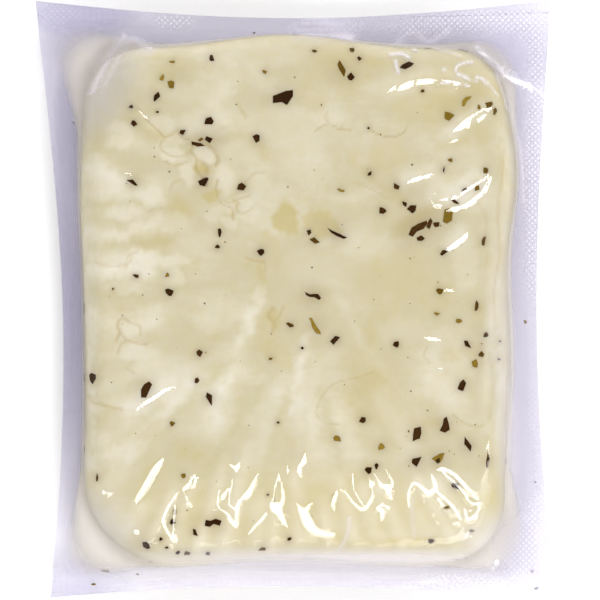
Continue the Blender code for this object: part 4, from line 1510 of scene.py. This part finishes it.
class Net:
    """A net of nodes, built up node by node."""

    def __init__(self, tree):
        self.tree = tree

    def node(self, kind, settings=None, sockets=None):
        """Adds a node, sets it up, then gives its sockets their values or links."""
        made = self.tree.nodes.new("ShaderNode" + kind)
        for name, value in (settings or {}).items():
            if name == "stops":
                self.set_stops(made.color_ramp, value)
            else:
                setattr(made, name, value)
        for name, value in (sockets or {}).items():
            if isinstance(value, Wire):
                self.tree.links.new(value.socket, made.inputs[name])
            else:
                made.inputs[name].default_value = value
        return Node(self, made)

    def set_stops(self, ramp, stops):
        while len(ramp.elements) > 1:
            ramp.elements.remove(ramp.elements[-1])
        ramp.elements[0].position, ramp.elements[0].color = stops[0][0], colour(stops[0][1])
        for position, value in stops[1:]:
            ramp.elements.new(position).color = colour(value)


class Finish(Net):
    """A material."""

    def __init__(self, name):
        self.material = bpy.data.materials.new(name)
        self.material.use_nodes = True
        self.material.node_tree.nodes.clear()
        super().__init__(self.material.node_tree)

    def place(self):
        return self.node("TexCoord").out("Object")

    def noise(self, scale, detail, roughness=0.5, stretch=(1, 1, 1)):
        """Noise from 0 to 1, with its size in lumps to the metre."""
        where = self.node("Mapping", {}, {"Vector": self.place(), "Scale": stretch}).out("Vector")
        sockets = {"Vector": where, "Scale": scale, "Detail": detail, "Roughness": roughness}
        return self.node("TexNoise", {}, sockets).out("Fac")

    def step(self, value, low, high):
        """0 below low, 1 above high and smooth between."""
        sockets = {"Value": value, "From Min": low, "From Max": high}
        return self.node("MapRange", {"interpolation_type": "SMOOTHSTEP"}, sockets).out("Result")

    def blend(self, share, first, second):
        """A colour between two."""
        settings = {"data_type": "RGBA", "blend_type": "MIX"}
        first, second = (value if isinstance(value, Wire) else colour(value) for value in (first, second))
        made = self.node("Mix", settings, {0: share, 6: first, 7: second}).made
        return Wire(self, made.outputs[2])

    def painted(self, name):
        """A number that the mesh carries at each vertex."""
        return self.node("Attribute", {"attribute_name": name}).out("Fac")

    def bump(self, height, distance):
        return self.node("Bump", {}, {"Height": height, "Distance": distance}).out("Normal")

    def matt(self, value):
        return self.node("BsdfDiffuse", {}, {"Color": colour(value)}).out("BSDF")

    def see_through(self, value):
        return self.node("BsdfTransparent", {}, {"Color": colour(value)}).out("BSDF")

    def mix(self, share, first, second):
        """A shader between two."""
        return self.node("MixShader", {}, {0: share, 1: first, 2: second}).out("Shader")

    def surface(self, shader):
        output = self.tree.nodes.new("ShaderNodeOutputMaterial")
        self.tree.links.new(shader.socket, output.inputs["Surface"])

    def give(self, piece):
        piece.data.materials.clear()
        piece.data.materials.append(self.material)


def colour(value):
    """A colour with the fourth number that a socket wants."""
    return (*value, 1.0)


def shade(red, green, blue):
    """A colour as a photo shows it, 0 to 255, made linear for the shader."""
    parts = (channel / 255 for channel in (red, green, blue))
    return tuple(c / 12.92 if c <= 0.04045 else ((c + 0.055) / 1.055) ** 2.4 for c in parts)


print("a grey of 128 in a photo is", round(shade(128, 128, 128)[0], 3), "in a shader")

# %% [markdown]
# ## Clear film
#
# Film is a sheet with two shiny sides. Light either bounces off, more of it at a glancing angle, or goes
# straight through. Glass would bend the light and darken what lies behind. So the shader is a mix: a
# glossy part, weighted by how far the film turns away from the eye, over a transparent part with a faint
# lilac tint. A little haze is mixed in, since vacuum film is never quite clear, and more where it hangs
# loose. Its dark grey is also painted shade on the flange, and the white mixed in is painted highlight on
# creases and painted light on the lit flange and knurl.

# %% Film finish
MIRROR = 0.06  # the share of light that film sends back head on
MOST_MIRROR = 0.11
# The dark grey of the haze, which also paints shade on the flange.
SMOKE_AND_SHADE = (0.39, 0.37, 0.50)
# The white of brine, and of painted highlights on creases and painted light on the lit flange and knurl.
WHITENED_AND_LIT = (0.88, 0.85, 0.94)
TINT = (0.976, 0.967, 1.0)
CRUMPLE_SCALE, CRUMPLE_HEIGHT = 150, 2.2 * MM
CRUMPLE_STRETCH = (1.35, 0.75, 1.0)
BEND_SCALE, BEND = 220, 4 * MM  # how the edges of the crumples are bent
FILM_ROUGHNESS = 0.05
FACET_NORMAL = (0.168, -0.317, 0.933)  # halfway between straight up and the lamp


def film_shader(finish, normal, roughness, shine):
    """Mixes clear, smoky, white and shiny film by the numbers that are painted on a piece. The smoky part is
    also painted shade, and the white part also painted highlight and painted light.
    """
    place = finish.node("SeparateXYZ", {}, {"Vector": finish.place()})
    waves = math.tau / KNURL_PITCH
    rows = (place.out("X") * waves).sine() * (place.out("Y") * waves).sine()
    # The knurled dots are clearer, and painted white as glints.
    dots = finish.step(rows, 0.1, 0.7) * finish.painted("knurled")
    haze = finish.painted("haze") * (1 - 0.8 * dots)
    whitened_and_lit = finish.painted("white") * 0.6 + dots * 0.35
    facing = finish.node("LayerWeight", {}, {"Blend": 0.5}).out("Facing")
    mirror = (MIRROR + (1 - MIRROR) * facing**5).least(MOST_MIRROR) * shine
    gloss = {"Color": (1, 1, 1, 1), "Roughness": roughness, "Normal": normal}
    shiny = finish.node("BsdfGlossy", {}, gloss).out("BSDF")
    body = finish.mix(haze, finish.see_through(TINT), finish.matt(SMOKE_AND_SHADE))
    body = finish.mix(whitened_and_lit, body, finish.matt(WHITENED_AND_LIT))
    finish.surface(finish.mix(mirror, body, shiny))


clear_film = Finish("clear_film")
bend = clear_film.node("TexNoise", {}, {"Vector": clear_film.place(), "Scale": BEND_SCALE, "Detail": 1.0})
bend = clear_film.node("VectorMath", {"operation": "SCALE"}, {0: bend.out("Color"), "Scale": BEND})
bent = {0: clear_film.place(), 1: bend.out("Vector")}
bent = clear_film.node("VectorMath", {"operation": "ADD"}, bent).out("Vector")
bent = clear_film.node("Mapping", {}, {"Vector": bent, "Scale": CRUMPLE_STRETCH}).out("Vector")
shards = {"Vector": bent, "Scale": CRUMPLE_SCALE}
facets = clear_film.node("TexVoronoi", {"feature": "DISTANCE_TO_EDGE"}, shards).out("Distance")
upright = clear_film.node("NewGeometry").out("Normal")
facing_lamp = {0: clear_film.painted("facet"), 4: upright, 5: FACET_NORMAL}
leaning = clear_film.node("Mix", {"data_type": "VECTOR"}, facing_lamp).made.outputs[1]
crumples = {
    "Height": facets * clear_film.painted("crumple"),
    "Distance": CRUMPLE_HEIGHT,
    "Normal": Wire(clear_film, leaning),
}
crumpled = clear_film.node("Bump", {}, crumples).out("Normal")
film_shader(clear_film, crumpled, FILM_ROUGHNESS, clear_film.painted("shine"))
clear_film.give(film)
print("nodes in clear film:", len(clear_film.tree.nodes))

# %% [markdown]
# ## Pressed curd
#
# Fresh cheese is matt and lets light a little way in. Its colour could be one cream, but the curd was folded
# while it was hot, so it is cloudy, yellower and drier in patches. It is also painted paler on the crests of
# the pressed folds, as painted light, and darker in the valleys between them, as painted shade. Noise gives
# the fine clouding everywhere, and the numbers on the vertices put each larger mark in its own place.

# %% Cheese finish
CREAM = shade(197, 190, 155)
PALE = shade(223, 219, 199)
YELLOW = shade(188, 175, 112)
VALLEY_SHADE = shade(187, 179, 131)
# Painted shade: the darker, yellower colour of the valleys between the pressed folds.
WHEY = shade(224, 220, 203)
CRACK = shade(180, 160, 104)
STAIN = shade(128, 104, 66)
curd = Finish("pressed_curd")
cloudy = curd.step(curd.noise(70, 5.0, 0.55, (0.7, 1.3, 1.0)), 0.42, 0.64)
patchy = curd.step(curd.noise(95, 6.0, 0.6), 0.50, 0.68)
mealy = curd.step(curd.noise(420, 3.0), 0.35, 0.70)
# Painted light: the crests of the pressed folds are paler.
lit_ridge = curd.painted("pressed")
body = curd.blend((cloudy * 0.35 + lit_ridge * 0.7).least(1.0), CREAM, PALE)
body = curd.blend(patchy * 0.35 * (1 - lit_ridge), body, YELLOW)
body = curd.blend(mealy * 0.14, body, YELLOW)
MARKS = (
    ("butter", 0.80, YELLOW),
    ("valley", 0.60, VALLEY_SHADE),
    ("lump", 0.55, PALE),
    ("crack", 0.70, CRACK),
    ("stain", 0.42, STAIN),
    ("veil", 0.90, WHEY),
)
for name, strength, value in MARKS:
    body = curd.blend(curd.painted(name) * strength, body, value)
moist = {
    "Base Color": body,
    "Roughness": 0.55,
    "Subsurface Weight": 0.25,
    "Subsurface Radius": (1.0, 0.7, 0.35),
    "Subsurface Scale": 2.5 * MM,
    "Normal": curd.bump(curd.noise(900, 4.0), 0.06 * MM),
}
curd.surface(curd.node("BsdfPrincipled", {}, moist).out("BSDF"))
curd.give(cheese)
print("nodes in pressed curd:", len(curd.tree.nodes))

# %% [markdown]
# ## Mint, brine and weld
#
# Dried mint runs from almost black to olive, and no flake is of one tone. A ramp turns the number on each
# flake, with a little noise, into its colour. The brine is cloudy where it is deep and clear where it thins
# out, so it is a mix of a matt and a transparent shader. The weld is the same film as the pouch, but rougher
# and less shiny, because the bars have pressed it.

# %% Mint, brine and weld finishes
leaf = Finish("dried_mint")
tone = leaf.painted("tone") + (leaf.noise(1500, 3.0) - 0.5) * 0.35
stops = (
    (0.0, shade(46, 26, 6)),
    (0.3, shade(66, 42, 12)),
    (0.6, shade(104, 82, 20)),
    (1.0, shade(146, 122, 44)),
)
leaf_colour = leaf.node("ValToRGB", {"stops": stops}, {"Fac": tone}).out("Color")
wet_leaf = {"Base Color": leaf_colour, "Roughness": 0.8, "Specular IOR Level": 0.05}
leaf.surface(leaf.node("BsdfPrincipled", {}, wet_leaf).out("BSDF"))
leaf.give(mint)

milk = Finish("milky_brine")
cloud = milk.painted("milk") * (0.7 + milk.noise(60, 3.0) * 0.4)
milk.surface(milk.mix(cloud, milk.see_through((1, 1, 1)), milk.matt(WHEY)))
milk.give(brine)

welded_film = Finish("welded_film")
weave = welded_film.bump(welded_film.noise(300, 2.0), 0.04 * MM)
WELD_ROUGHNESS, WELD_SHINE = 0.12, 0.25
film_shader(welded_film, weave, WELD_ROUGHNESS, WELD_SHINE)
welded_film.give(weld)
print("finishes:", [finish.material.name for finish in (clear_film, curd, leaf, milk, welded_film)])

# %% [markdown]
# ## Floor and lights
#
# The photo has soft light from all round, as in a white tent, and one narrower lamp at the lower right,
# which every flash in the film faces. One lamp alone would give hard shadows. So there are four: the key,
# and three large ones for the walls of the tent. The sky is dark overhead, so that the film mirrors
# nothing there and the flakes stay deep brown.

# %% Floor
start_fresh()
bpy.ops.mesh.primitive_plane_add(size=6)
floor = bpy.context.object
floor.name = "floor"
ground = Finish("pale_floor")
ground.surface(ground.matt((0.93, 0.93, 0.93)))
ground.give(floor)
print("floor in metres:", round(floor.dimensions.x, 1), "x", round(floor.dimensions.y, 1))

# %% Sky
SKY_AROUND, SKY_OVERHEAD = 0.46, 0.04
scene = bpy.context.scene
scene.view_settings.view_transform = "Standard"
world = bpy.data.worlds.new("soft_sky")
world.use_nodes = True
sky = world.node_tree.nodes["Background"]
sky.inputs["Color"].default_value = (1.0, 0.985, 0.95, 1.0)
net = Net(world.node_tree)
up = net.node("SeparateXYZ", {}, {"Vector": net.node("TexCoord").out("Generated")}).out("Z")
fading = {"Value": up, "From Min": 0.35, "From Max": 0.95, "To Min": SKY_AROUND, "To Max": SKY_OVERHEAD}
net.tree.links.new(net.node("MapRange", {}, fading).out("Result").socket, sky.inputs["Strength"])
scene.world = world
print("sky:", world.name)

# %% Lamps
# Name, azimuth counted anticlockwise from +X as seen from above, elevation, distance, width, height, watts.
LAMPS = (
    ("key", -62, 48, 1.0, 1.0, 0.26, 8.2),
    ("tent_left", 180, 32, 1.8, 2.4, 1.1, 6.0),
    ("tent_right", 0, 32, 1.8, 2.4, 1.1, 4.0),
    ("tent_back", 95, 48, 1.8, 2.4, 1.1, 33.0),
)


def softbox(name, azimuth, elevation, distance, width, height, watts):
    """A rectangular lamp aimed at the block."""
    light = bpy.data.lights.new(name, "AREA")
    light.shape, light.size, light.size_y, light.energy = "RECTANGLE", width, height, watts
    lamp = bpy.data.objects.new(name, light)
    turn, rise = math.radians(azimuth), math.radians(elevation)
    level = math.cos(rise)
    where = Vector((math.cos(turn) * level, math.sin(turn) * level, math.sin(rise))) * distance
    lamp.location = where
    lamp.rotation_euler = (-where).to_track_quat("-Z", "Y").to_euler()
    lamp.visible_glossy = name == "key"  # the film mirrors the key alone
    scene.collection.objects.link(lamp)


for lamp_settings in LAMPS:
    softbox(*lamp_settings)
print("lamps:", len(LAMPS))
